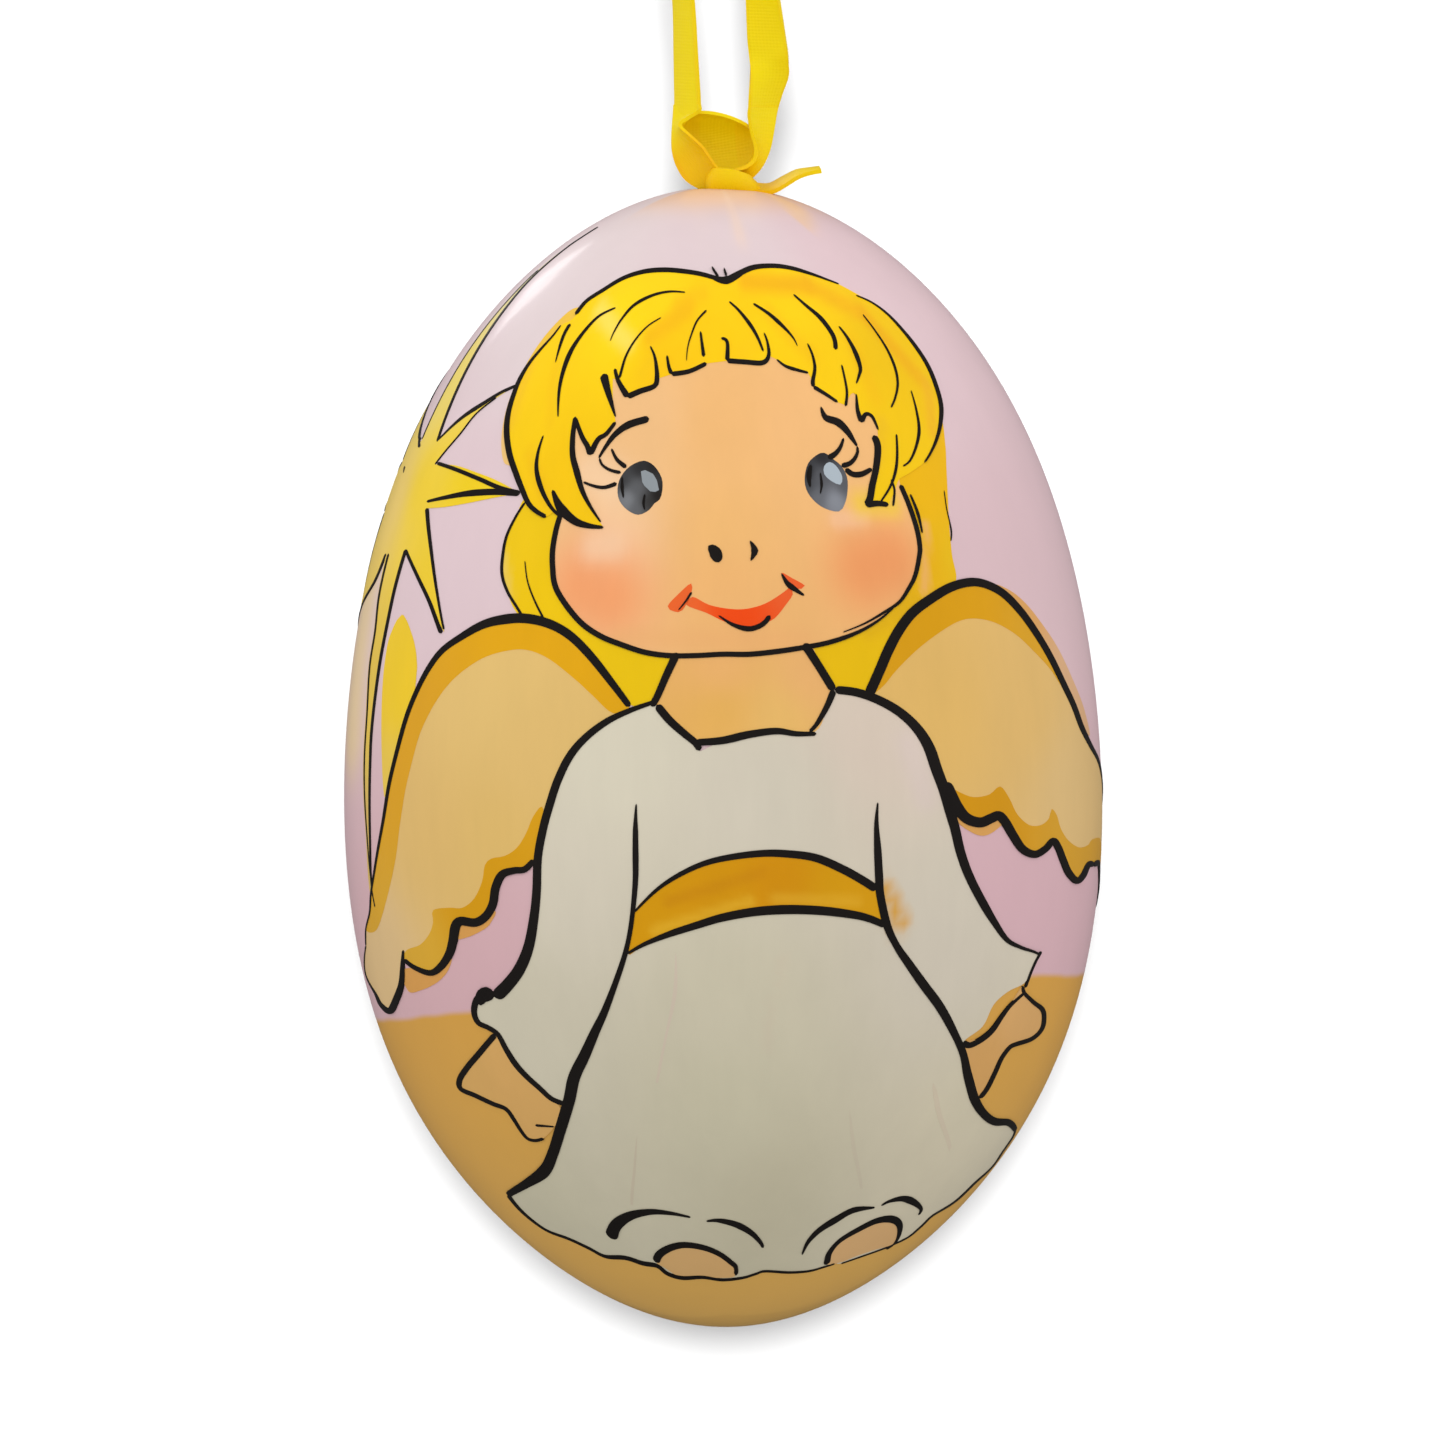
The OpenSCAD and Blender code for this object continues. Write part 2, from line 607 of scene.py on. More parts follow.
@dataclass(frozen=True)
class ShellFinish(PaintFinish):
    """The shell's own ground coats: sky above a wavy line, ochre earth below it; heights are in metres."""

    streaks: float = 0.05
    border: float = -0.101
    slant: float = 0.055
    feather: float = 0.0003
    wave: float = 0.0011
    wave_scale: float = 95.0
    wave_detail: float = 2.0
    earth_foot: float = -0.126
    earth_head: float = -0.1
    earth_top: str = "DBA348"
    earth_low: str = "DEAE5A"

    def colour(self, make: Nodes, place: NodeSocket) -> NodeSocket:
        """Choose sky or earth by the place's height.

        Args:
            make: the helper for the material's nodes.
            place: the place on the shell.

        Returns:
            The socket that holds the colour.
        """
        axes = make.split(place)
        ripple = make.noise(place, self.wave_scale, self.wave_detail)
        sway = make.maths("MULTIPLY_ADD", ripple, self.wave, self.border - self.wave / 2)
        line = make.maths("MULTIPLY_ADD", axes["X"], self.slant, sway)
        above = make.maths("SUBTRACT", axes["Z"], line)
        cover = make.ramp(above, -self.feather, self.feather, kind="SMOOTHSTEP")
        depth = make.ramp(axes["Z"], self.earth_foot, self.earth_head)
        earth = make.mix(depth, opaque(self.earth_low), opaque(self.earth_top))
        return make.mix(cover, earth, make.attribute("tone", "Color"))


@dataclass(frozen=True)
class SatinFinish:
    """Yellow satin ribbon: fine crosswise threads, woven edges, a soft sheen and painted shade in the knot's
    folds; sizes are in millimetres.
    """

    name: str = "yellow_satin"
    code: str = "FAE200"
    # The darker yellow that the woven edges, the random clouds and the painted fold shade mix towards.
    weave_and_fold_shade: str = "FAC000"
    thread: float = 0.11
    warp_spacing: float = 2.4
    warp_depth: float = 0.35
    half_width: float = 1.5
    edge_from: float = 0.84
    edge_to: float = 0.95
    edge_tint: float = 0.2
    cloud_scale: float = 420.0
    cloud_detail: float = 3.0
    cloud_tint: float = 0.16
    thread_tint: float = 0.04
    roughness: float = 0.42
    roughness_swing: float = 0.2
    relief: float = 0.000012
    relief_strength: float = 0.6
    specular: float = 0.12
    coat: float = 0.12
    coat_roughness: float = 0.25

    def build(self, by_map: bool) -> Material:
        """Make the material.

        Args:
            by_map: whether the piece has a UV map in millimetres along and across the ribbon.

        Returns:
            The finished material.
        """
        material, make, shader = new_material(self.name if by_map else self.name + "_hidden")
        spot = make.place()
        place = make.place("UV") if by_map else make.vector("SCALE", {0: spot, "Scale": 1 / MM})
        axes = make.split(place)
        full_turn = 2 * math.pi / self.thread
        rib = make.maths("SINE", make.maths("MULTIPLY", axes["X" if by_map else "Z"], full_turn))
        warp_turn = 2 * math.pi / (self.thread * self.warp_spacing)
        warp = make.maths("SINE", make.maths("MULTIPLY", axes["Y"], warp_turn))
        weave = make.maths("MULTIPLY_ADD", warp, self.warp_depth, rib)
        cloud = make.noise(spot, self.cloud_scale, self.cloud_detail)
        away = make.maths("ABSOLUTE", axes["Y"])
        edge = make.ramp(away, self.half_width * self.edge_from, self.half_width * self.edge_to)
        clouded = make.maths("MULTIPLY", cloud, self.cloud_tint)
        tint = make.maths("MULTIPLY_ADD", edge, self.edge_tint, clouded)
        tint = make.maths("MULTIPLY_ADD", rib, self.thread_tint, tint)
        # Painted shade: the piece's per-vertex fold shade darkens the satin in the knot's folds, pocket and
        # tail.
        if by_map:
            tint = make.maths("ADD", tint, make.attribute("fold_shade", "Fac"))
        smooth = self.roughness - self.roughness_swing / 2
        values = {
            "Base Color": make.mix(tint, opaque(self.code), opaque(self.weave_and_fold_shade)),
            "Roughness": make.maths("MULTIPLY_ADD", cloud, self.roughness_swing, smooth),
            "Normal": make.bump(weave, self.relief, self.relief_strength),
            "Specular IOR Level": self.specular,
            "Coat Weight": self.coat,
            "Coat Roughness": self.coat_roughness,
        }
        make.feed(shader, values)
        return material


@dataclass(frozen=True)
class WoodFinish:
    """Plain split wood of the hidden toggle stick."""

    name: str = "bare_toggle_wood"
    light: str = "D9BE8E"
    dark: str = "A97F4C"
    stretch: tuple[float, float, float] = (0.08, 1.0, 1.0)
    grain_scale: float = 2600.0
    grain_detail: float = 5.0
    relief: float = 0.00004
    roughness: float = 0.7

    def build(self) -> Material:
        """Make the material.

        Returns:
            The finished material.
        """
        material, make, shader = new_material(self.name)
        grain = make.noise(
            make.vector("MULTIPLY", {0: make.place(), 1: self.stretch}), self.grain_scale, self.grain_detail
        )
        values = {
            "Base Color": make.mix(grain, opaque(self.light), opaque(self.dark)),
            "Roughness": self.roughness,
            "Normal": make.bump(grain, self.relief),
        }
        make.feed(shader, values)
        return material


def object_from(shape: BMesh, name: str) -> Object:
    """Turn a bmesh into a smooth linked object and free the bmesh.

    Args:
        shape: the bmesh.
        name: the object's name.

    Returns:
        The object.
    """
    mesh = bpy.data.meshes.new(name)
    shape.to_mesh(mesh)
    shape.free()
    for polygon in mesh.polygons:
        polygon.use_smooth = True
    piece = bpy.data.objects.new(name, mesh)
    bpy.context.scene.collection.objects.link(piece)
    return piece


def tint(mesh: Mesh, palette: Palette, flats: Sequence[Vector]) -> None:
    """Store the mixed paint of every vertex as the mesh's tone attribute.

    Args:
        mesh: the mesh.
        palette: what mixes the paint.
        flats: each vertex's place on the unrolled sheet.
    """
    tone = mesh.attributes.new("tone", "FLOAT_COLOR", "POINT")
    tone.data.foreach_set("color", [channel for flat in flats for channel in (*palette.mix(flat), 1.0)])


@dataclass
class Painter:
    """Lays paint films and brush lines on the shell and fixes them to the egg's body, in millimetres."""

    canvas: Canvas
    paint: Material
    ink: Material
    sink: float = 0.12
    outline_step: float = 0.45
    line_step: float = 0.22
    cut_reach: float = 0.0005
    swell: float = 0.14
    cap_share: float = 0.55
    least_cap: float = 0.08
    tip_share: float = 0.02
    levels: int = 5
    level_step: float = 0.002
    flat_share: float = 0.5
    rim_lean: float = 0.5

    def _thicken(self, shape: BMesh, faces: list[BMFace], lift: float) -> None:
        """Give a flat sheet its thickness, from under the shell's surface up to its lift.

        Args:
            shape: the bmesh that holds the sheet.
            faces: the sheet's faces.
            lift: how far it stands above the shell.
        """
        for vert in {v for face in faces for v in face.verts}:
            vert.co.z -= self.sink
        grown = bmesh.ops.extrude_face_region(shape, geom=faces, use_keep_orig=True)
        for part in grown["geom"]:
            if isinstance(part, BMVert):
                part.co.z += self.sink + lift

    def _cut_cells(self, shape: BMesh, cell: float) -> None:
        """Cut a flat sheet into cells fine enough to bend.

        Args:
            shape: the bmesh that holds the sheet.
            cell: the side of a cell.
        """
        for axis, normal in enumerate((Vector((1.0, 0.0, 0.0)), Vector((0.0, 1.0, 0.0)))):
            low = min(v.co[axis] for v in shape.verts)
            high = max(v.co[axis] for v in shape.verts)
            for cut in range(math.floor(low / cell) + 1, math.ceil(high / cell)):
                geometry = shape.verts[:] + shape.edges[:] + shape.faces[:]
                bmesh.ops.bisect_plane(
                    shape, geom=geometry, dist=self.cut_reach, plane_co=normal * (cut * cell), plane_no=normal
                )

    def _flat_patch(self, shape: BMesh, outline: Outline, cell: float, lift: float) -> None:
        """Add one filled area to the sheet.

        Args:
            shape: the bmesh that it is added to.
            outline: the area's outline.
            cell: the side of the cells that it is cut into.
            lift: how far it stands above the shell.
        """
        rim = spline([self.canvas.unroll(place) for place in outline], True, self.outline_step)
        count = len(rim)
        if sum(a.x * b.y - b.x * a.y for a, b in zip(rim, rim[1:] + rim[:1])) < 0:
            rim.reverse()
        fresh = bmesh.new()
        ring = bmesh.ops.create_circle(fresh, cap_ends=True, cap_tris=False, segments=count, radius=1.0)
        for vert in ring["verts"]:
            share = math.atan2(vert.co.y, vert.co.x) / (2 * math.pi)
            vert.co = rim[round(share * count) % count]
        bmesh.ops.recalc_face_normals(fresh, faces=fresh.faces[:])
        bmesh.ops.triangulate(fresh, faces=fresh.faces[:], ngon_method="EAR_CLIP")
        self._cut_cells(fresh, cell)
        self._thicken(fresh, fresh.faces[:], lift)
        bmesh.ops.triangulate(fresh, faces=fresh.faces[:])
        bmesh.ops.recalc_face_normals(fresh, faces=fresh.faces[:])
        keep = bpy.data.meshes.new("patch")
        fresh.to_mesh(keep)
        fresh.free()
        shape.from_mesh(keep)
        bpy.data.meshes.remove(keep)

    def _flat_line(self, shape: BMesh, stroke: Stroke, lift: float) -> None:
        """Add one brush line to the sheet, with rounded ends and a low crown.

        Args:
            shape: the bmesh that it is added to.
            stroke: the line.
            lift: how far it stands above the shell.
        """
        path = spline([self.canvas.unroll(place) for place in stroke.places], False, self.line_step)
        runs = [0.0]
        for a, b in zip(path, path[1:]):
            ahead = (b - a) * Vector((self.canvas.foreshortening(a), 1.0, 0.0))
            runs.append(runs[-1] + ahead.length)
        total = runs[-1]
        last = len(path) - 1
        grid = bmesh.ops.create_grid(shape, x_segments=2, y_segments=last, size=1.0)
        faces = list({face for vert in grid["verts"] for face in vert.link_faces})
        for vert in grid["verts"]:
            side = vert.co.x
            index = round((vert.co.y + 1) / 2 * last)
            here = path[index]
            squeeze = self.canvas.foreshortening(here)
            ahead = path[min(index + 1, last)] - path[max(index - 1, 0)]
            along = Vector((ahead.x * squeeze, ahead.y, 0.0)).normalized()
            width = stroke.width_at(runs[index] / total)
            cap = max(self.least_cap, width * self.cap_share)
            for distance in (runs[index], total - runs[index]):
                if distance < cap:
                    width *= math.sqrt(max(self.tip_share, 1 - (1 - distance / cap) ** 2))
            half = width / 2
            across = here.x - along.y * half * side / squeeze
            vert.co = Vector((across, here.y + along.x * half * side, self.swell * half * (1 - abs(side))))
        self._thicken(shape, faces, lift)

    def _turn_normals(self, mesh: Mesh, flats: Sequence[Vector]) -> None:
        """Let flat faces shade like the shell under them, and rims round over.

        Args:
            mesh: the bent mesh.
            flats: each vertex's place on the unrolled sheet.
        """
        form = self.canvas.form
        outward = [form.outward(flat.x / form.reach, flat.y) for flat in flats]
        normals = [Vector((0.0, 0.0, 1.0))] * len(mesh.loops)
        for polygon in mesh.polygons:
            for loop in polygon.loop_indices:
                away = outward[mesh.loops[loop].vertex_index]
                facing = polygon.normal.dot(away)
                if abs(facing) > self.flat_share:
                    normals[loop] = away if facing > 0 else -away
                else:
                    normals[loop] = (away + polygon.normal * self.rim_lean).normalized()
        mesh.normals_split_custom_set(normals)

    def _finish(
        self, shape: BMesh, name: str, palette: Palette | None, material: Material
    ) -> Object:
        """Bend the sheet onto the egg, give it its tones and normals, and fix it to the egg's body.

        Args:
            shape: the flat sheet.
            name: the piece's name.
            palette: what mixes its paint, or None for ink.
            material: its finish.

        Returns:
            The piece.
        """
        flats = [vert.co.copy() for vert in shape.verts]
        piece = object_from(shape, name)
        mesh = piece.data
        for vert, flat in zip(mesh.vertices, flats):
            vert.co = self.canvas.wrap(flat)
        mesh.update()
        if palette:
            tint(mesh, palette, flats)
        self._turn_normals(mesh, flats)
        mesh.materials.append(material)
        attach(piece, Body.EGG.value)
        log.info("%s: %d faces", name, len(mesh.polygons))
        return piece

    def fill(
        self,
        name: str,
        outlines: Sequence[Outline],
        lift: float,
        tones: Tones,
        touches: Sequence[Touch] = (),
        cell: float = 1.0,
    ) -> Object:
        """Lay one piece of filled paint.

        Args:
            name: the piece's name.
            outlines: the areas that it is made of.
            lift: how far the film stands above the shell.
            tones: the tones that its paint is mixed from.
            touches: the soft touches on it.
            cell: the side of the cells that it is cut into.

        Returns:
            The piece.
        """
        shape = bmesh.new()
        for outline in outlines:
            self._flat_patch(shape, outline, cell, lift)
        return self._finish(shape, name, Palette(self.canvas, tones, touches, cell * 2), self.paint)

    def lines(self, name: str, strokes: Sequence[Stroke], lift: float) -> Object:
        """Lay one piece of brush lines.

        Args:
            name: the piece's name.
            strokes: the lines.
            lift: how far they stand above the shell; lines that cross differ a little in it.

        Returns:
            The piece.
        """
        shape = bmesh.new()
        for number, stroke in enumerate(strokes):
            self._flat_line(shape, stroke, lift + self.level_step * (number % self.levels))
        bmesh.ops.recalc_face_normals(shape, faces=shape.faces[:])
        return self._finish(shape, name, None, self.ink)


@dataclass
class Shell:
    """The blown goose egg: one thin wall with a small hole at its top."""

    form: EggForm
    segments: int = 192
    rings: int = 144
    merge_reach: float = 0.00001
    halvings: int = 60
    touches: tuple[Touch, ...] = (
        Touch((-2.2, 42.8), (4.6, 42.6), 1.5, "EEC098", 0.8),
        Touch((0.4, 42), (1.2, 39.6), 1.3, "EFD0BA", 0.45),
        Touch((4.6, 42), (5.8, 40.4), 0.9, "F0C48E", 0.55),
        Touch((-80, 12), (-79, 2), 3.5, "F2D69C", 0.75),
        Touch((-90, 14), (-88, 4), 4, "F0D49E", 0.4),
    )
    tones: Tones = (
        (0, 40, "DECACD"), (-12, 34, "E1D0D1"), (14, 30, "DFC3C8"), (-20, 18, "E3CACF"), (22, 16, "DBBCC1"),
        (-21, -15, "DAB1B6"), (24, -10, "DAB2B9"), (120, 20, "E2C8CD"), (-120, 20, "E2C8CD"),
        (179, 25, "E4CBD0"), (179, -10, "DAB5BB"), (120, -10, "DAB4BA"), (-120, -10, "DAB4BA"),
    )

    def build(self, canvas: Canvas, material: Material) -> Object:
        """Turn a sphere into the egg, give it its tones and fix it to its body.

        Args:
            canvas: where the tones lie.
            material: the shell's ground coats.

        Returns:
            The piece.
        """
        shape = self._wall()
        flats = [Vector((math.atan2(v.co.x, -v.co.y) * self.form.reach, v.co.z, 0.0)) for v in shape.verts]
        lift = Vector((0.0, 0.0, self.form.centre))
        for vert in shape.verts:
            vert.co = (vert.co + lift) * MM
        piece = object_from(shape, "shell_ground_coats")
        again = tuple(
            (across + turn, up, code)
            for across, up, code in self.tones
            for turn in (-FULL_CIRCLE, FULL_CIRCLE)
            if abs(across) > DEGREES_FROM
        )
        tint(piece.data, Palette(canvas, self.tones + again, self.touches), flats)
        piece.data.materials.append(material)
        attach(piece, Body.EGG.value)
        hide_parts("eggshell")
        log.info("%s: %d faces", piece.name, len(piece.data.polygons))
        return piece

    def _wall(self) -> BMesh:
        """Make the egg's wall round its own centre.

        Returns:
            The closed wall in millimetres, with the hole open.
        """
        shape = bmesh.new()
        bmesh.ops.create_uvsphere(shape, u_segments=self.segments, v_segments=self.rings, radius=1.0)
        for vert in shape.verts:
            t = max(-1.0, min(1.0, vert.co.z))
            girth = self.form.reach * self.form.fullness(t)
            vert.co = Vector((vert.co.x * girth, vert.co.y * girth, t * self.form.length / 2))
        mouth = (0, 0, self._mouth_height())
        geometry = shape.verts[:] + shape.edges[:] + shape.faces[:]
        bmesh.ops.bisect_plane(
            shape, geom=geometry, dist=self.merge_reach, plane_co=mouth, plane_no=(0, 0, 1), clear_outer=True
        )
        bmesh.ops.remove_doubles(shape, verts=shape.verts[:], dist=self.merge_reach)
        bmesh.ops.recalc_face_normals(shape, faces=shape.faces[:])
        bmesh.ops.solidify(shape, geom=shape.faces[:], thickness=self.form.wall)
        return shape

    def _mouth_height(self) -> float:
        """Find where the girth is as wide as the hole.

        Returns:
            The height above the centre.
        """
        low, high = 0.0, self.form.length / 2
        for _ in range(self.halvings):
            middle = (low + high) / 2
            if self.form.radius(middle) > self.form.hole / 2:
                low = middle
            else:
                high = middle
        return low


@dataclass
class StarOfLight:
    """The gold star that wraps round the egg's left side, with a soft leaf of light under it."""

    leaf_lift: float = 0.03
    lift: float = 0.04
    line_lift: float = 0.06

    outline: Outline = (
        (-66.2, 40), (-66.2, 40), (-70, 38.4), (-71.6, 36.1), (-70.4, 33.5), (-68.6, 30), (-67, 27),
        (-65.4, 24), (-65.4, 24), (-19.7, 25.4), (-17.9, 26.6), (-16.6, 27.4), (-15.5, 27.9), (-15.5, 27.9),
        (-17, 27), (-18.5, 25.8), (-19.7, 24.3), (-20.9, 22.9), (-21.6, 22), (-21.6, 22), (-20, 21.9),
        (-18, 21.2), (-16.6, 20.6), (-15.2, 19.8), (-15.2, 19.8), (-17, 19.5), (-19, 19.1), (-20.8, 18.8),
        (-22.2, 18.7), (-22.2, 18.7), (-21.9, 15.7), (-21.5, 12.8), (-20.9, 9.4), (-20.9, 9.4), (-22, 11.7),
        (-23, 13.8), (-23.8, 15.6), (-23.8, 15.6), (-24.6, 12.8), (-25.2, 10), (-25.7, 7.4), (-26.1, 4.6),
        (-26.4, 1.7), (-26.5, -1), (-26.5, -6), (-26.4, -9.4), (-26.2, -12), (-26.2, -12), (-26.6, -9.4),
        (-26.8, -6), (-27, -2.6), (-27, 0), (-26.8, 3.4), (-26.6, 6.9), (-26.2, 9.5), (-25.9, 12.2),
        (-25.3, 15.2), (-25.3, 15.2), (-77, 13.4), (-86, 11.6), (-96, 9.5), (-96, 9.5), (-90, 14.5),
        (-86, 18.8), (-86, 18.8), (-96, 19.6), (-108, 20.4), (-108, 20.4), (-96, 21.4), (-86, 22.4),
        (-86, 22.4), (-91, 25.5), (-97, 30), (-97, 30), (-88, 27.5), (-79, 24.6), (-74.2, 24.1), (-74.8, 28),
        (-75, 31), (-74.6, 33.5), (-73.7, 36), (-72.6, 37.3), (-71, 38.4), (-68.6, 39.3),
    )
    leaf_tones: Tones = ((-24.2, 5, "F4CC22"), (-25.4, -2, "ECC850"))
    leaf: Outline = (
        (-24.1, 10.7), (-23.4, 9.4), (-23, 7.7), (-23, 6), (-23.4, 3), (-24.2, 0), (-25, -2.5), (-25.4, -3),
        (-25.6, 0), (-25.6, 4.3), (-25.4, 7), (-25, 9.1),
    )
    strokes: tuple[Stroke, ...] = (
        Stroke(outline[76:81] + ((-73, 36.8),), (0.08,)),
        Stroke(
            ((-65.4, 23.9),) + outline[6:1:-1] + ((-68.2, 39.2), (-66.2, 40)),
            (0.15, 0.15, 0.14, 0.1, 0.06),
        ),
        Stroke(((-21.4, 23.8),) + outline[9:13], (0.1, 0.35, 0.2)),
        Stroke(outline[18:13:-1], (0.08,)),
        Stroke(((-21.4, 22.1), (-20, 21.6), (-18.3, 20.9), (-16.7, 20.2), (-15.2, 19.8)), (0.25, 0.35)),
        Stroke(((-22.2, 19.2), (-20.8, 19.5), (-19, 19.8), (-17, 19.9), (-15.2, 19.8)), (0.2, 0.5, 0.45)),
        Stroke(((-22.2, 18.7), (-21.9, 15.7), (-21.5, 12.8), (-21, 10), (-20.9, 9.6)), (0.25, 0.12)),
        Stroke(((-23.8, 15.6), (-23, 13.8), (-22, 11.7), (-21.1, 9.3)), (0.2, 0.3)),
        Stroke(
            outline[37:43] + ((-26.5, -0.9), (-26.5, -6), (-26.4, -9.4), (-26.1, -11.3)),
            (0.2, 0.16, 0.08),
        ),
        Stroke(((-25.1, 15.3), (-25.8, 12.2), (-26.1, 9.5), (-26.5, 6.9), (-26.7, 3.4), (-26.9, 0),
                (-26.9, -2.6), (-26.7, -6), (-26.4, -9.4)), (0.14, 0.1, 0.06)),
        Stroke(((-22.7, 24.9), (-22.8, 23.3)), (0.05, 0.2)),
        Stroke(((-23.9, 21.9), (-24, 21.4)), (0.2, 0.08)),
        Stroke(((-25.3, 15.3), (-77, 13.4), (-86, 11.6), (-96, 9.6)), (0.15, 0.2, 0.1)),
        Stroke(((-96, 9.6), (-90.5, 14.5), (-86, 18.6)), (0.1, 0.2)),
        Stroke(((-86, 18.8), (-96, 19.6), (-108, 20.4)), (0.2, 0.1)),
        Stroke(((-108, 20.4), (-96, 21.4), (-86, 22.4)), (0.1, 0.25)),
        Stroke(((-86, 22.6), (-91, 25.5), (-97, 30)), (0.2, 0.08)),
        Stroke(((-97, 30), (-88, 27.5), (-79, 24.7), (-75.5, 24.1)), (0.08, 0.2)),
    )
    # The pale tone at (-14, 36) is a painted highlight on the star's upper points.
    tones: Tones = (
        (-22.5, 20.5, "F6D22C"), (-19, 20.4, "F5D110"), (-20, 28.5, "F2DA6C"), (-24.6, 19, "F4D274"),
        (-14, 36, "E6D8A6"), (-22, 13, "F2CE2C"), (-26, 6, "E8C44E"), (-26.5, -8, "D8B664"),
        (-100, 20, "F0D05C"),
    )

    def build(self, painter: Painter) -> None:
        """Lay the star, its leaf of light and its lines.

        Args:
            painter: what lays the paint.
        """
        painter.fill("star_leaf_of_light", [self.leaf], self.leaf_lift, self.leaf_tones)
        painter.fill("star_gold", [self.outline], self.lift, self.tones)
        painter.lines("star_lines", self.strokes, self.line_lift)


@dataclass
class BackHair:
    """Long yellow hair behind the cheeks and shoulders."""

    lift: float = 0.035
    line_lift: float = 0.075
    cell: float = 0.7

    left: Outline = (
        (-14.6, 19.6), (-15.5, 18), (-16.2, 16.5), (-16.5, 14.8), (-16.5, 13.4), (-16.1, 12.2), (-15.4, 10.8),
        (-14, 9.8), (-11.4, 8.4), (-9, 5.8), (-6.9, 3.9), (-5.2, 4.2), (-4, 6.5), (-3.6, 7.9), (-8, 9.5),
        (-11.5, 12), (-12, 16), (-12.2, 19.5),
    )
    right: Outline = (
        (14.6, 23), (16.3, 25.4), (16.7, 23.6), (16.8, 21.6), (16.9, 19.4), (17, 17.4), (17.2, 15.2),
        (17.5, 13.2), (16.3, 12), (14.2, 10.6), (12.6, 8), (11.2, 5.4), (10.6, 4.7), (8.6, 5.1), (7.2, 7),
        (6.2, 8.2), (10, 9.6), (13, 12), (14.3, 16), (13, 20.5),
    )
    tones: Tones = (
        (-15.5, 16, "F2C808"), (-13.5, 12, "F3C800"), (-7, 6, "EFC504"), (15.9, 20, "EEB604"),
        (15.6, 15, "EAB002"), (17, 15, "ECBE10"), (10, 6.5, "ECBE02"),
    )
    touches: tuple[Touch, ...] = (
        Touch((-16.6, 15), (-16.2, 12), 0.6, "E9CE7A", 0.5),
        Touch((15.1, 12.4), (15.2, 17.4), 0.4, "F0B36C", 0.7),
        Touch((14.4, 11.6), (11, 9.4), 0.7, "DDAA10", 0.5),
    )
    strokes: tuple[Stroke, ...] = (
        Stroke(((-14.8, 19.1), (-15.5, 18), (-16.2, 16.5), (-16.5, 14.8), (-16.5, 13.6), (-16.1, 12.4),
                (-15.5, 11.4), (-15, 10.6)), (0.16, 0.22, 0.18)),
        Stroke(((-14.8, 14.7), (-14.6, 13.2), (-14.1, 11.8), (-13.4, 10.4)), (0.06, 0.15)),
        Stroke(((16.6, 20), (16.8, 18.6), (17.15, 17), (17.1, 16.2)), (0.05, 0.08)),
    )

    def build(self, painter: Painter) -> None:
        """Lay both falls of hair and their lines.

        Args:
            painter: what lays the paint.
        """
        painter.fill("back_hair_left", [self.left], self.lift, self.tones, self.touches, self.cell)
        painter.fill("back_hair_right", [self.right], self.lift, self.tones, self.touches, self.cell)
        painter.lines("back_hair_lines", self.strokes, self.line_lift)


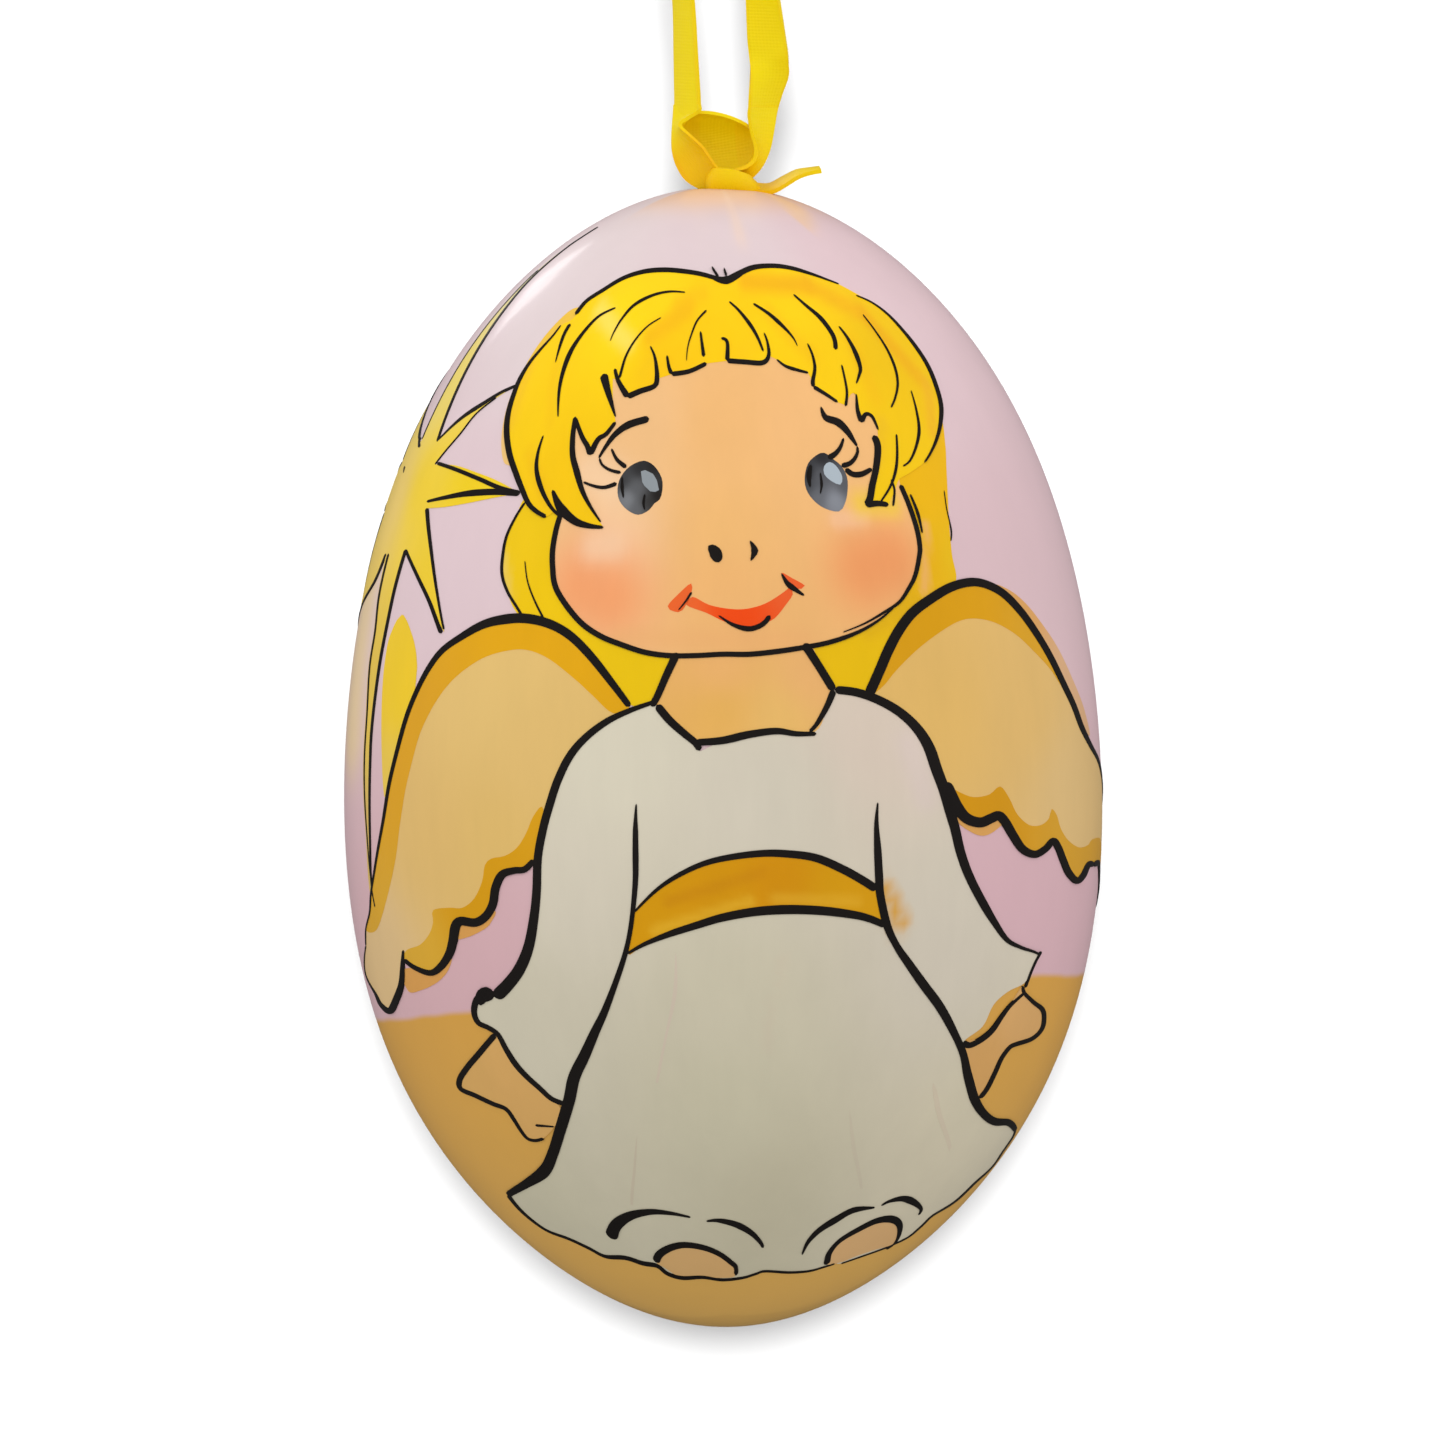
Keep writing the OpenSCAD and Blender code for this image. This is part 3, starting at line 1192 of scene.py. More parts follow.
@dataclass
class Wings:
    """Two ochre wings with darker bands along their tops and scalloped feather tips."""

    wash_lift: float = 0.035
    lift: float = 0.045
    band_lift: float = 0.055
    line_lift: float = 0.09
    wash_cell: float = 0.7
    band_cell: float = 0.8

    left_top: Outline = (
        (-6.95, 3.8), (-8.15, 5.4), (-9.8, 7.5), (-11.4, 9.1), (-13, 10), (-14.8, 10.4), (-16.5, 10.3),
        (-18, 9.9), (-19.6, 9), (-21, 8), (-22, 6.7), (-22.9, 5), (-23.7, 3), (-24.4, 0.5), (-25, -2),
        (-25.5, -5), (-26.1, -8.4), (-26.4, -10.3), (-26.5, -11.7), (-26.8, -13), (-26.8, -14.2),
    )
    left_turn: Outline = ((-82, -16),)
    left_tip: Outline = (
        (-26.1, -17.8), (-25.7, -18.6), (-25, -19.1), (-24.5, -18.2), (-24.1, -17), (-24, -15.4),
    )
    left_scallops: Outline = (
        (-23.9, -15.2), (-23.1, -15.8), (-21.9, -16.2), (-21.1, -15.7), (-20.5, -14.8), (-20.2, -13.8),
        (-20, -12.7), (-19.6, -12.3), (-18.5, -12.4), (-17.7, -11.9), (-17.2, -11), (-17, -9.8),
        (-16.5, -8.8), (-15.6, -8.5), (-14.8, -8.4), (-14.1, -7.7),
    )
    left_under: Outline = ((-13.2, -5.3), (-11.8, -1.7), (-9.2, 1.5))
    left_root: Outline = ((-13.4, -5.3),)
    left_inner: Outline = (
        (-8.2, 3.3), (-9.7, 4.6), (-11, 5.8), (-12.9, 7.3), (-14.5, 8), (-16, 8), (-18, 7.4), (-20, 6),
        (-21.4, 4.3), (-22.6, 2), (-23.2, 0), (-23.8, -2.5), (-24.2, -5), (-24.6, -8), (-25.3, -11),
        (-26, -13),
    )
    left_feather: Outline = (
        (-13.5, -3.7), (-14.2, -4.5), (-14.7, -5.7), (-15.4, -6.8), (-16.3, -7.4), (-17.3, -7.6),
        (-17.8, -8.1), (-18, -9.3), (-18.6, -10.6), (-19.5, -11.3), (-20.5, -11.3), (-21.7, -11.5),
        (-21.7, -12.4), (-22, -13.3), (-22.7, -14.1), (-23.7, -14.5),
    )
    right_top: Outline = (
        (10.9, 4.6), (11.8, 6.6), (12.4, 8), (13.2, 9.5), (14.2, 10.8), (15.5, 11.8), (17, 12.7),
        (18.4, 13.1), (19.6, 13), (21, 12.3), (22.3, 11), (23.4, 9.5), (24.5, 7.7), (25.5, 5.7), (26.4, 3.8),
        (27, 2.2), (27.7, 0.8), (83, -0.7), (90, -2.6), (97, -5), (102, -8),
    )
    right_tip: Outline = ((102.5, -10.2), (99, -11.6), (94, -11.4), (88, -9.6), (84, -8.3))
    right_scallops: Outline = (
        (27.9, -8.1), (27.5, -8.1), (27.1, -8.9), (26.6, -9.3), (26, -8.7), (25.6, -7.8), (25.2, -6.8),
        (24.8, -6.3), (24.2, -6.9), (23.4, -7.3), (22.5, -6.9), (21.8, -5.9), (21.2, -4.9), (20.7, -4.4),
        (20.1, -4.6), (19.3, -4.9), (18.3, -4.6), (17.6, -3.8), (17, -2.7), (16.6, -1.9),
    )
    right_under: Outline = ((15.5, 0), (13.5, 3))
    right_inner: Outline = (
        (12, 5.3), (13, 6.5), (14.4, 7.9), (15.9, 9.1), (17.5, 10.1), (18.8, 10.4), (20.4, 10.1), (22, 9.2),
        (23.3, 8), (24.6, 6.6), (25.4, 5.4),
    )
    right_feather: Outline = (
        (16.7, -2), (17.7, -2.6), (18.8, -3), (20, -2.8), (20.8, -2.2), (21.5, -3.1), (22.1, -4.3),
        (23, -5.1), (23.9, -5.1), (24.5, -4.6), (24.7, -3.9), (25.1, -4.4), (25.4, -5.4), (26, -6.3),
        (26.8, -6.8), (27.5, -6.6), (27.8, -6.2), (84, -6.4), (90, -7.4), (97, -8.4),
    )
    right_wash: Outline = (
        (20.4, 12.9), (21.6, 12.5), (22.8, 11.5), (24, 10), (25.2, 8.2), (26.3, 5.9), (27.2, 3.6),
        (27.6, 1.6), (26, 4), (24, 8), (22, 11),
    )
    left_wash: Outline = (
        (-20.4, -12.6), (-20.2, -13.6), (-19.4, -13.6), (-18.4, -13.2), (-17.5, -12.6), (-17, -11.6),
        (-17.8, -11.6), (-18.8, -12.2),
    )
    left_low_wash: Outline = (
        (-24, -16), (-23.6, -17.6), (-22.6, -17.5), (-21.4, -16.9), (-20.6, -16), (-20.4, -15),
        (-21.8, -15.8),
    )
    right_low_wash: Outline = (
        (17.4, -3.6), (17.6, -4.8), (18.6, -5.6), (19.6, -5.9), (20.6, -5.4), (21.2, -4.6), (20, -4.2),
        (18.4, -4),
    )
    body_tones: Tones = (
        (-18, 4, "E8C276"), (-14, 0, "E6BF74"), (-22, -6, "E3BB70"), (-25.5, -15, "E2C08A"),
        (-17, -6, "E3BC6E"), (17, 4, "E4B868"), (22, 4, "E2B86E"), (26, -3, "E0BC7E"),
    )
    band_tones: Tones = (
        (-14, 9, "E8AA08"), (-23.5, 1, "E2A41C"), (-18.5, -11.7, "DA9C04"), (-22.5, -15, "DDAA30"),
        (18, 11.5, "DC9E04"), (24, 7.8, "DCA220"), (19, -4, "D69608"), (26.5, -7.6, "D8A028"),
    )
    wash_tones: Tones = (
        (22, 12.4, "DDA35C"), (26, 5, "DCAE82"), (-20, -13.4, "DDA052"), (19.4, -5.6, "DCA258"),
    )
    strokes: tuple[Stroke, ...] = (
        Stroke(left_top, (0.45, 0.6, 0.65, 0.75, 0.5, 0.36, 0.3, 0.25, 0.18, 0.12, 0.08)),
        Stroke(
            left_top[-1:] + left_turn + left_tip + ((-23.95, -14.5),),
            (0.08, 0.1, 0.2, 0.45, 0.45, 0.35, 0.15),
        ),
        Stroke(left_scallops, (0.3, 0.5, 0.7, 0.6, 0.6, 0.4)),
        Stroke(right_top + right_tip[:1], (0.75, 0.75, 0.7, 0.65, 0.6, 0.5, 0.42, 0.34, 0.3, 0.25, 0.12)),
        Stroke(right_tip + right_scallops[:1], (0.12, 0.2, 0.3, 0.4, 0.45)),
        Stroke(right_scallops, (0.45, 0.5, 0.5, 0.6, 0.7, 0.8, 1)),
    )

    def build(self, painter: Painter) -> None:
        """Lay both wings, their bands and their lines.

        Args:
            painter: what lays the paint.
        """
        left = self.left_top + self.left_turn + self.left_tip + self.left_scallops + self.left_under
        right = self.right_top + self.right_tip + self.right_scallops + self.right_under
        left_bands = (
            self.left_top[:-1] + self.left_inner[::-1],
            self.left_feather + self.left_scallops + self.left_root,
        )
        right_bands = (
            self.right_top[:14] + self.right_inner[::-1],
            self.right_feather + self.right_tip + self.right_scallops,
        )
        washes = (self.right_wash, self.left_wash, self.left_low_wash, self.right_low_wash)
        painter.fill("left_wing", [left], self.lift, self.body_tones)
        painter.fill("left_wing_bands", left_bands, self.band_lift, self.band_tones, cell=self.band_cell)
        painter.fill("right_wing", [right], self.lift, self.body_tones)
        painter.fill("right_wing_bands", right_bands, self.band_lift, self.band_tones, cell=self.band_cell)
        painter.fill("wing_washes", washes, self.wash_lift, self.wash_tones, cell=self.wash_cell)
        painter.lines("wing_lines", self.strokes, self.line_lift)


@dataclass
class Gown:
    """The long cream gown with wide sleeves, and its gold belt."""

    lift: float = 0.06
    mark_lift: float = 0.066
    belt_lift: float = 0.075
    line_lift: float = 0.11
    cell: float = 0.9
    mark_cell: float = 0.7
    belt_cell: float = 0.5

    left_sleeve: Outline = (
        (-5.2, 4.1), (-6.9, 3.5), (-8.6, 2.7), (-10.2, 1.5), (-11.4, 0.1), (-12.3, -1.7), (-12.9, -3.5),
        (-13.4, -5.3), (-13.8, -7.5), (-13.9, -10), (-14.1, -12), (-14.5, -14.2), (-15.2, -15.9),
        (-16.1, -17.1), (-17, -18),
    )
    left_cuff: Outline = (
        (-17.8, -17.7), (-18.4, -18.2), (-18.6, -19.1), (-18.3, -19.9), (-17.5, -20.3), (-16.8, -20.8),
        (-16.2, -21.9), (-15.5, -23), (-14.7, -23.9), (-13.7, -24.8), (-12.8, -25.6), (-11.8, -26),
    )
    left_skirt: Outline = (
        (-6.45, -3.5), (-6.5, -5), (-6.5, -7), (-6.5, -9), (-6.65, -11), (-6.9, -13), (-7.3, -14.8),
        (-8, -16.9), (-8.8, -19), (-9.5, -20.5), (-10.3, -22.3), (-11.1, -24), (-11.5, -25.8), (-12.1, -27.8),
        (-12.7, -29.7), (-13.4, -31.1), (-14.8, -32.1), (-16.1, -32.9),
    )
    hem: Outline = (
        (-15, -34.2), (-13.3, -35.5), (-11.5, -36.2), (-10, -36.9), (-8.8, -37.5), (-7.3, -37.6), (-6, -38),
        (-4.9, -38.2), (-4.1, -38.8), (-3, -39.1), (-1.5, -39.05), (0, -39.25), (1.5, -39.1), (2.5, -38.8),
        (3.2, -38.6), (5, -38.7), (6.5, -38.6), (7.6, -38.3), (8.4, -38.05),
    )
    hem_right: Outline = (
        (8.9, -38.05), (10.5, -37.5), (12.2, -36.9), (12.9, -36.6), (14, -36.05), (15, -35.2), (15.8, -34.45),
        (17.5, -33.4), (19, -32), (20.3, -30.8), (21.05, -29.7), (21.8, -28.6), (22, -28),
    )
    right_skirt: Outline = (
        (11.6, -3.4), (11.5, -5), (11.6, -7), (11.7, -9), (11.8, -10.4), (12.3, -12.6), (13, -14.1),
        (13.8, -15.3), (15, -17), (16.25, -18.7), (17.3, -20.6), (18, -22.2), (18.4, -24), (18.9, -25.7),
        (19.6, -26.8), (20.45, -27.4), (21.5, -27.5), (22, -28.1),
    )
    right_cuff: Outline = (
        (18.1, -21.3), (19.5, -20.2), (20.3, -18.6), (21.4, -17.6), (22.6, -17), (23.1, -16.2), (23.5, -15.3),
    )
    right_sleeve: Outline = (
        (23.8, -14.85), (23.3, -14.6), (22.4, -14.3), (21.3, -13.7), (20.3, -12.3), (19.3, -10.6),
        (18.4, -8.8), (17.8, -7.1), (17.4, -5.4), (17, -4), (16.55, -2.4), (16, -0.9), (15.4, 0.8),
        (14.5, 2.2), (13.2, 3.4), (11.6, 4.3), (10, 4.85), (8.4, 5.05),
    )
    neckline: Outline = (
        (8.3, 4.9), (7.8, 3.8), (7.05, 2.5), (6.5, 1.9), (5.5, 1.75), (4, 1.95), (2, 1.7), (0, 1.25),
        (-1.7, 0.45), (-2, 1.05), (-2.9, 1.8), (-4, 2.8), (-4.9, 3.9),
    )
    belt_top: Outline = (
        (-6.6, -11.6), (-5, -10), (-3.4, -8.9), (-1.5, -8), (0.5, -7.5), (3, -7.2), (5, -7.25), (7, -7.55),
        (9, -8.4), (10.6, -9.3), (11.5, -9.9),
    )
    belt_bottom: Outline = (
        (-7.1, -14.7), (-5.85, -14), (-4, -13.25), (-2, -12.6), (0, -12), (2.5, -11.55), (5, -11.4),
        (7.5, -11.5), (9.8, -11.8), (11, -12.1), (12.2, -12.6),
    )
    faint_marks: tuple[Outline, ...] = (
        ((-3.5, -14.6), (-3.7, -17.6), (-4.3, -20.8), (-5, -24.4), (-4.8, -24.4), (-4.1, -20.8),
         (-3.4, -17.6)),
        ((-6.4, -28.4), (-6.7, -31), (-6.9, -33.6), (-6.7, -33.6), (-6.5, -31)),
        ((15.7, -24.6), (16.1, -27), (17, -29.6), (17.2, -29.4), (16.5, -27), (16, -24.8)),
        ((9.5, -26.4), (9.7, -29.4), (10.3, -32.4), (10.5, -32.4), (10, -29.4)),
    )
    tones: Tones = (
        (-8, 0, "DED6C0"), (3, -3, "D7CEBB"), (12, 2, "DDCCBB"), (-11, -10, "D9D0BC"), (-15.5, -19, "D3CBB4"),
        (17, -13, "D6CCBA"), (0, -18, "D2CAB1"), (0, -26, "CFC8AD"), (3, -34, "C9C1A6"), (17, -29, "D6CCB2"),
        (-13, -34, "CCC5AB"),
    )
    touches: tuple[Touch, ...] = (
        Touch((4.4, -15), (3.2, -22), 0.35, "D3C6AE", 0.5),
        Touch((14, 1), (15.2, -3), 1.2, "DCC9C4", 0.5),
        Touch((12.2, -10), (13.3, -12.4), 0.8, "DCA23A", 0.95),
    )
    mark_tones: Tones = (
        (-4, -18, "D5C6B2"), (-6.6, -31, "CCC0A8"), (16.4, -27, "D4C6AE"), (10, -30, "CEC3AB"),
    )
    belt_tones: Tones = (
        (-5, -12.5, "DC9C02"), (0, -9.8, "DA9802"), (4, -9.4, "D89202"), (9, -10.2, "DA9C04"),
        (11.5, -11, "DC9E08"),
    )
    belt_touches: tuple[Touch, ...] = (
        Touch((-4, -10.8), (3, -8.6), 0.5, "D08A04", 0.6),
        Touch((-5, -13), (2, -10.8), 0.5, "EDBB30", 0.5),
        Touch((4, -10.6), (10, -10.8), 0.5, "E8B22C", 0.5),
    )
    strokes: tuple[Stroke, ...] = (
        Stroke(left_sleeve, (0.3, 0.5, 0.6, 0.6, 0.6, 0.65, 0.8, 0.9)),
        Stroke(((-17.1, -17.9), (-17.8, -17.8), (-18.1, -18.2), (-18.1, -18.6)), (0.85, 1.1, 0.9, 0.5)),
        Stroke(left_cuff, (0.5, 0.4, 0.35, 0.45, 0.4, 0.35)),
        Stroke(
            left_skirt,
            (
                0.1, 0.4, 0.45, 0.4, 0.35, 0.35, 0.4, 0.45, 0.55, 0.7, 0.8, 0.85, 0.8, 0.75, 0.7, 0.75, 0.5,
                0.35,
            ),
        ),
        Stroke(((-16.1, -32.9),) + hem, (0.3, 0.2, 0.25, 0.35, 0.3, 0.2, 0.15, 0.15, 0.12)),
        Stroke(hem_right, (0.1, 0.15, 0.2, 0.15)),
        Stroke(right_sleeve[::-1], (0.6, 0.65, 0.7, 0.85, 0.8, 0.7, 0.65, 0.6, 0.35, 0.15)),
        Stroke(((23.9, -14.6), (23.5, -15.3), (23.1, -16.2), (22.7, -17.3)), (0.17,)),
        Stroke(
            right_skirt,
            (0.1, 0.35, 0.55, 0.6, 0.6, 0.6, 0.5, 0.6, 0.65, 0.65, 0.6, 0.5, 0.5, 0.6, 0.6, 0.5, 0.5, 0.3),
        ),
        Stroke(((22.6, -17.7), (21.6, -18.6), (20.9, -19.5), (20.2, -20.5), (19.35, -21.2), (18.5, -21.6),
                (18, -21.4)), (0.2, 0.3, 0.45, 0.45)),
        Stroke(((-4.9, 3.9), (-4, 2.8), (-2.9, 1.8), (-2, 1.05), (-1.7, 0.5)), (0.6, 0.6, 0.55, 0.5)),
        Stroke(((-2, 1.1), (0, 1.25), (2, 1.7), (4, 1.95), (5.5, 1.75), (7, 1.75)), (0.5, 0.6, 0.5, 0.3)),
        Stroke(belt_top, (0.15, 0.35, 0.45, 0.55, 0.62, 0.62)),
        Stroke(belt_bottom, (0.2, 0.5, 0.62, 0.7, 0.65, 0.5)),
    )

    def build(self, painter: Painter) -> None:
        """Lay the gown, the belt and their lines.

        Args:
            painter: what lays the paint.
        """
        outline = (
            self.left_sleeve
            + self.left_cuff
            + self.left_skirt[13:]
            + self.hem
            + self.hem_right
            + self.right_skirt[-2:10:-1]
            + self.right_cuff
            + self.right_sleeve
            + self.neckline
        )
        belt = self.belt_top + self.belt_bottom[::-1]
        painter.fill("gown", [outline], self.lift, self.tones, self.touches, self.cell)
        marks = self.faint_marks
        painter.fill("gown_faint_marks", marks, self.mark_lift, self.mark_tones, cell=self.mark_cell)
        painter.fill("belt_gold", [belt], self.belt_lift, self.belt_tones, self.belt_touches, self.belt_cell)
        painter.lines("gown_lines", self.strokes, self.line_lift)


@dataclass
class HandsAndFeet:
    """The small hands under the cuffs and the feet under the hem."""

    lift: float = 0.085
    line_lift: float = 0.115
    cell: float = 0.7

    left_hand: Outline = (
        (-17, -20.8), (-18.2, -22.2), (-19.2, -23.4), (-19.7, -24.25), (-19.6, -24.9), (-18.5, -25.4),
        (-17.2, -26), (-16.2, -26.4), (-15.6, -27.2), (-15.1, -28), (-14.6, -28.6), (-14, -28.75),
        (-13.4, -28.6), (-12.5, -27.6), (-12.1, -26.4), (-12.8, -25.7), (-13.7, -24.9), (-14.7, -24),
        (-15.5, -23.1), (-16.2, -22), (-16.8, -20.9),
    )
    right_hand: Outline = (
        (22.5, -17.2), (22.6, -17.7), (23.3, -18.4), (24, -19), (24.1, -19.8), (23.9, -20.5), (23.2, -21.15),
        (22, -21.55), (21.5, -21.8), (20.9, -22.6), (20.4, -23.7), (19.8, -24.9), (19.25, -25.6),
        (18.8, -25.4), (18.4, -24), (18, -22.2), (18.1, -21.4), (19.4, -21.1), (20.2, -20.4), (21, -19.3),
        (21.7, -18.4),
    )
    left_foot: Outline = (
        (-5, -37.9), (-4.7, -37.3), (-3.85, -36.8), (-2.8, -36.6), (-1.45, -36.8), (-0.3, -37.25),
        (0.6, -37.9), (1, -38.3), (0.9, -39), (-0.5, -39.1), (-1.5, -39), (-3.2, -39), (-4.4, -38.3),
    )
    right_foot: Outline = (
        (7.8, -38.1), (8, -37.25), (8.8, -36.3), (10.3, -35.4), (11.6, -34.8), (12.65, -34.7), (13.25, -35.1),
        (13.2, -36), (12.85, -36.6), (11.5, -37), (10, -37.5), (9, -37.9),
    )
    tones: Tones = (
        (-16, -24, "DCAB64"), (-18.5, -24.5, "DAAA62"), (22, -19.5, "DCAA6A"), (20, -23, "D8A460"),
        (-2, -38, "DAAE72"), (11, -36, "DDB078"),
    )
    strokes: tuple[Stroke, ...] = (
        Stroke(left_hand[:13], (0.4, 0.4, 0.38, 0.38, 0.3, 0.2)),
        Stroke(((-14, -27.6), (-12.6, -27.7)), (0.2, 0.1)),
        Stroke(right_hand[:13], (0.22, 0.32, 0.35, 0.35, 0.4)),
        Stroke(left_foot[:8] + ((1, -38.9),), (0.5, 0.45, 0.4, 0.35, 0.3)),
        Stroke(((-8.35, -36.1), (-7.95, -35.1), (-6.9, -34.4), (-5.4, -34.1), (-3.9, -34.2), (-2.4, -34.5)),
                (0.8, 0.7, 0.5, 0.3, 0.1)),
        Stroke(((-1.2, -34.8), (-0.3, -34.75), (1, -35.05), (2.1, -35.65), (2.8, -36.35), (3.05, -36.8)),
                (0.1, 0.35, 0.45, 0.35, 0.2)),
        Stroke(right_foot[:9] + ((12.3, -37),), (0.4, 0.35, 0.45, 0.5, 0.3, 0.1)),
        Stroke(((5.95, -37.35), (6.4, -36.4), (7.25, -35.5), (8.5, -34.7), (9.8, -34), (11.4, -33.8)),
                (0.1, 0.4, 0.55, 0.45, 0.1)),
        Stroke(((11.9, -33.65), (12.6, -33.3), (13.6, -33.15), (14.45, -33.5), (14.9, -34), (14.7, -34.4)),
                (0.1, 0.35, 0.45, 0.3, 0.1)),
    )

    def build(self, painter: Painter) -> None:
        """Lay the hands, the feet and their lines.

        Args:
            painter: what lays the paint.
        """
        limbs = {
            "left_hand": self.left_hand,
            "right_hand": self.right_hand,
            "left_foot": self.left_foot,
            "right_foot": self.right_foot,
        }
        for name, outline in limbs.items():
            painter.fill(name, [outline], self.lift, self.tones, cell=self.cell)
        painter.lines("hand_and_foot_lines", self.strokes, self.line_lift)


